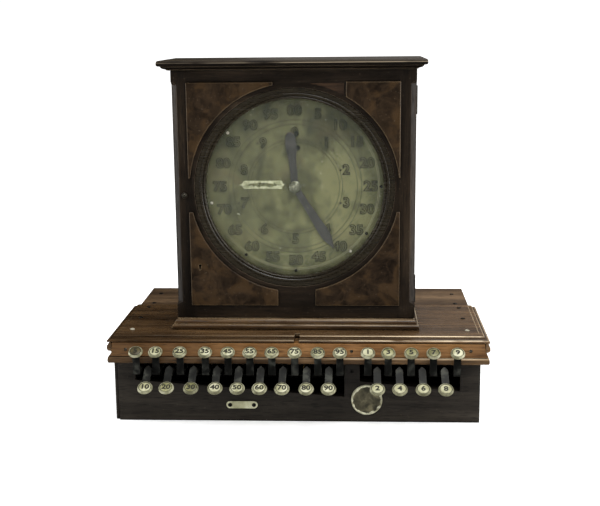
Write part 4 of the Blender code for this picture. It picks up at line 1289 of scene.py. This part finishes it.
def strip_into(shape, x, sections):
    """A steel strip through sections of depth, height, half width and the direction of its thickness."""
    rings = []
    for depth, height, half, lean in sections:
        normal = Vector((0, -math.sin(lean), math.cos(lean))) * STRIP_THICKNESS / 2 * MM
        middle = place(x, depth, height)
        side = Vector((half * MM, 0, 0))
        rings.append([
            middle - side - normal, middle + side - normal, middle + side + normal, middle - side + normal,
        ])
    bridge(shape, rings)


STAINED = {"cents_key_05": BROWN_LABEL}
for stained_key in ("cents_key_20", "cents_key_30", "dollars_key_3", "dollars_key_5", "dollars_key_7"):
    STAINED[stained_key] = OLIVE_LABEL


def build_key(name, number):
    """One key: its CAD lever behind the front board, and a new strip, cap and label in front."""
    x = JOINTS[name + "_press"]["pos_m"][0] / MM
    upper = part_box(name)[0].z > UPPER_KEY_LOW * MM
    shape = behind(name, UPPER_CUT if upper else LOWER_CUT)
    loose = []
    for face in shape.faces:
        if not LEVER_LOW * MM <= face.calc_center_median().z <= LEVER_HIGH * MM:
            loose.append(face)
    bmesh.ops.delete(shape, geom=loose, context="FACES")
    close_holes(shape)
    for face in shape.faces:
        face.material_index = 0
    if upper:
        sections = [(UPPER_STRIP_DEPTH, height, STRIP_HALF, math.pi / 2) for height in UPPER_STRIP_HEIGHTS]
    else:
        depth, height = LOWER_STRIP_TIP
        lean = LOWER_STRIP_LEAN
        sections = []
        for back, share in ((30.0, 1.0), (14.0, 1.0), (5.2, 1.0), (4.2, 0.95), (0.8, 0.28), (0.0, 0.05)):
            low = height - math.sin(lean) * back
            sections.append((depth - math.cos(lean) * back, low, STRIP_HALF * share, lean))
    strip_into(shape, x, sections)
    cap_into(shape, x, UPPER_CAP if upper else LOWER_CAP, str(number))
    item = new_object(name + "_piece", shape, STEEL, NICKEL, STAINED.get(name, LABEL), LABEL_INK)
    smooth(item, 40.0)
    stand_in(item, name)


def build_keys():
    for body in BODIES:
        if body.startswith(("cents_key_", "dollars_key_")):
            build_key(body, int(body.rsplit("_", 1)[1]))
    for node in ("key_rod", "key_spring_comb"):
        refined(node, BRIGHT_STEEL, 0.2)
    for node in ("cents_bail", "dollars_bail"):
        refined(node, STEEL, 0.3, 2, 40.0)
    for node in ("cents_rack", "dollars_rack"):
        refined(node, BRASS, 0.1, 1, 40.0)


# Fittings

def build_fittings():
    for i, (x, depth) in enumerate(DECK_SCREWS):
        matrix = facing(place(x, depth, DECK_TOP), *UPWARD)
        look = SCREW_METAL if depth < PALE_SCREW_DEPTH else BLACK_SCREW
        turn = 23.0 + 47.0 * i
        slotted_screw(f"deck_screw_{i + 1}", matrix, DECK_SCREW, turn, look, "bright_steel")
    for i, (x, z) in enumerate(RAIL_SCREWS):
        matrix = front_matrix(x, z, RAIL_FACE)
        turn = 15.0 + 60.0 * i
        slotted_screw(f"rail_screw_{i + 1}", matrix, RAIL_SCREW, turn, DULL_METAL, "bright_steel")
    matrix = front_matrix(*POST_HOLE, 0.0)
    slotted_screw("post_screw", matrix, POST_SCREW, 80.0, BLACK_SCREW, "dark_steel")

    low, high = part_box("door_button")
    middle = (low + high) / 2
    front = -(low.y - FRONT) / MM
    matrix = facing(Vector((middle.x, FRONT, middle.z)), *FRONTWARD)
    profile = [
        (0.0, front), (1.2, front - 0.06), (2.2, front - 0.4), (2.9, front - 1.1), (3.1, front - 2.0),
        (3.1, front - 9.8), (0.0, front - 10.2),
    ]
    stand_in(turned("door_button_piece", profile, matrix, 32, DULL_METAL), "door_button")

    for node, width in (("hinge_upper", 0.2), ("hinge_lower", 0.2), ("door_lock", 0.4)):
        refined(node, STEEL, width, 2, 40.0)
    finish_node("door_glass", GLASS)


def build_badges():
    matrix = front_matrix(*MEDALLION, 0.0)
    edge = MEDALLION_RADIUS
    profile = [
        (0.0, 1.6), (edge - 3.4, 1.6), (edge - 2.9, 1.5), (edge - 2.3, 1.7), (edge - 1.8, 2.35),
        (edge - 1.2, 2.6), (edge - 0.6, 2.4), (edge - 0.1, 1.7), (edge, 0.9), (edge, 0.3), (0.0, 0.3),
    ]
    stand_in(turned("medallion_piece", profile, matrix, 96, medallion_metal(), 30.0), "medallion")

    middle, half, tall = face_size("number_plate")
    outline = []
    for side in (1, -1):
        for i in range(13):
            turn = math.radians(-90 + 15 * i)
            outline.append((side * (half - tall + tall * math.cos(turn)), side * tall * math.sin(turn)))
    shape = plate_into(bmesh.new(), outline, -0.5, 0.5, facing(middle, *FRONTWARD))
    plate = new_object("number_plate_piece", shape, PLATE_CREAM)
    rounded(plate, 0.25)
    stand_in(plate, "number_plate")
    for i, side in enumerate((-1, 1)):
        matrix = front_matrix(PLATE[0] + side * PLATE_SCREW_OUT, PLATE[1], PLATE_FACE)
        turn = 40.0 + 70.0 * i
        slotted_screw(f"plate_screw_{i + 1}", matrix, PLATE_SCREW, turn, BLACK_SCREW, "dark_steel")


def medallion_metal():
    """A worn disc: blotched olive in the middle, and a bright rim that is rubbed away in places."""
    material, tree, shader = new_material("medallion_face")
    radius = from_centre(tree, *MEDALLION)[1]
    blotch = cloud(tree, 3.0, 110.0, 4.0, 0.6)
    ragged = cloud(tree, 5.0, 240.0, 4.0)
    tones = palette((58, 55, 40), (84, 79, 58), (114, 107, 80))
    colour = ramp(tree, blotch, zip((0.36, 0.5, 0.64), tones))
    reach = plus(tree, radius, times(tree, calc(tree, "SUBTRACT", ragged, 0.5), 6.0 * MM))
    rim = between(tree, reach, 15.0 * MM, 15.8 * MM)
    bright = ramp(tree, ragged, zip((0.4, 0.6), palette((150, 146, 118), (206, 204, 176))))
    colour = mix(tree, rim, colour, bright)
    coat(tree, shader, colour, ragged, 0.3, 0.3)
    shader.inputs["Metallic"].default_value = 0.25
    bump(tree, shader, plus(tree, blotch, ragged), 0.08, 0.5)
    return material


random.seed(7)
build_camera()
build_studio()
build_woodwork()
build_bezel()
build_dial()
build_name_bar()
build_hands()
build_keys()
build_fittings()
build_badges()
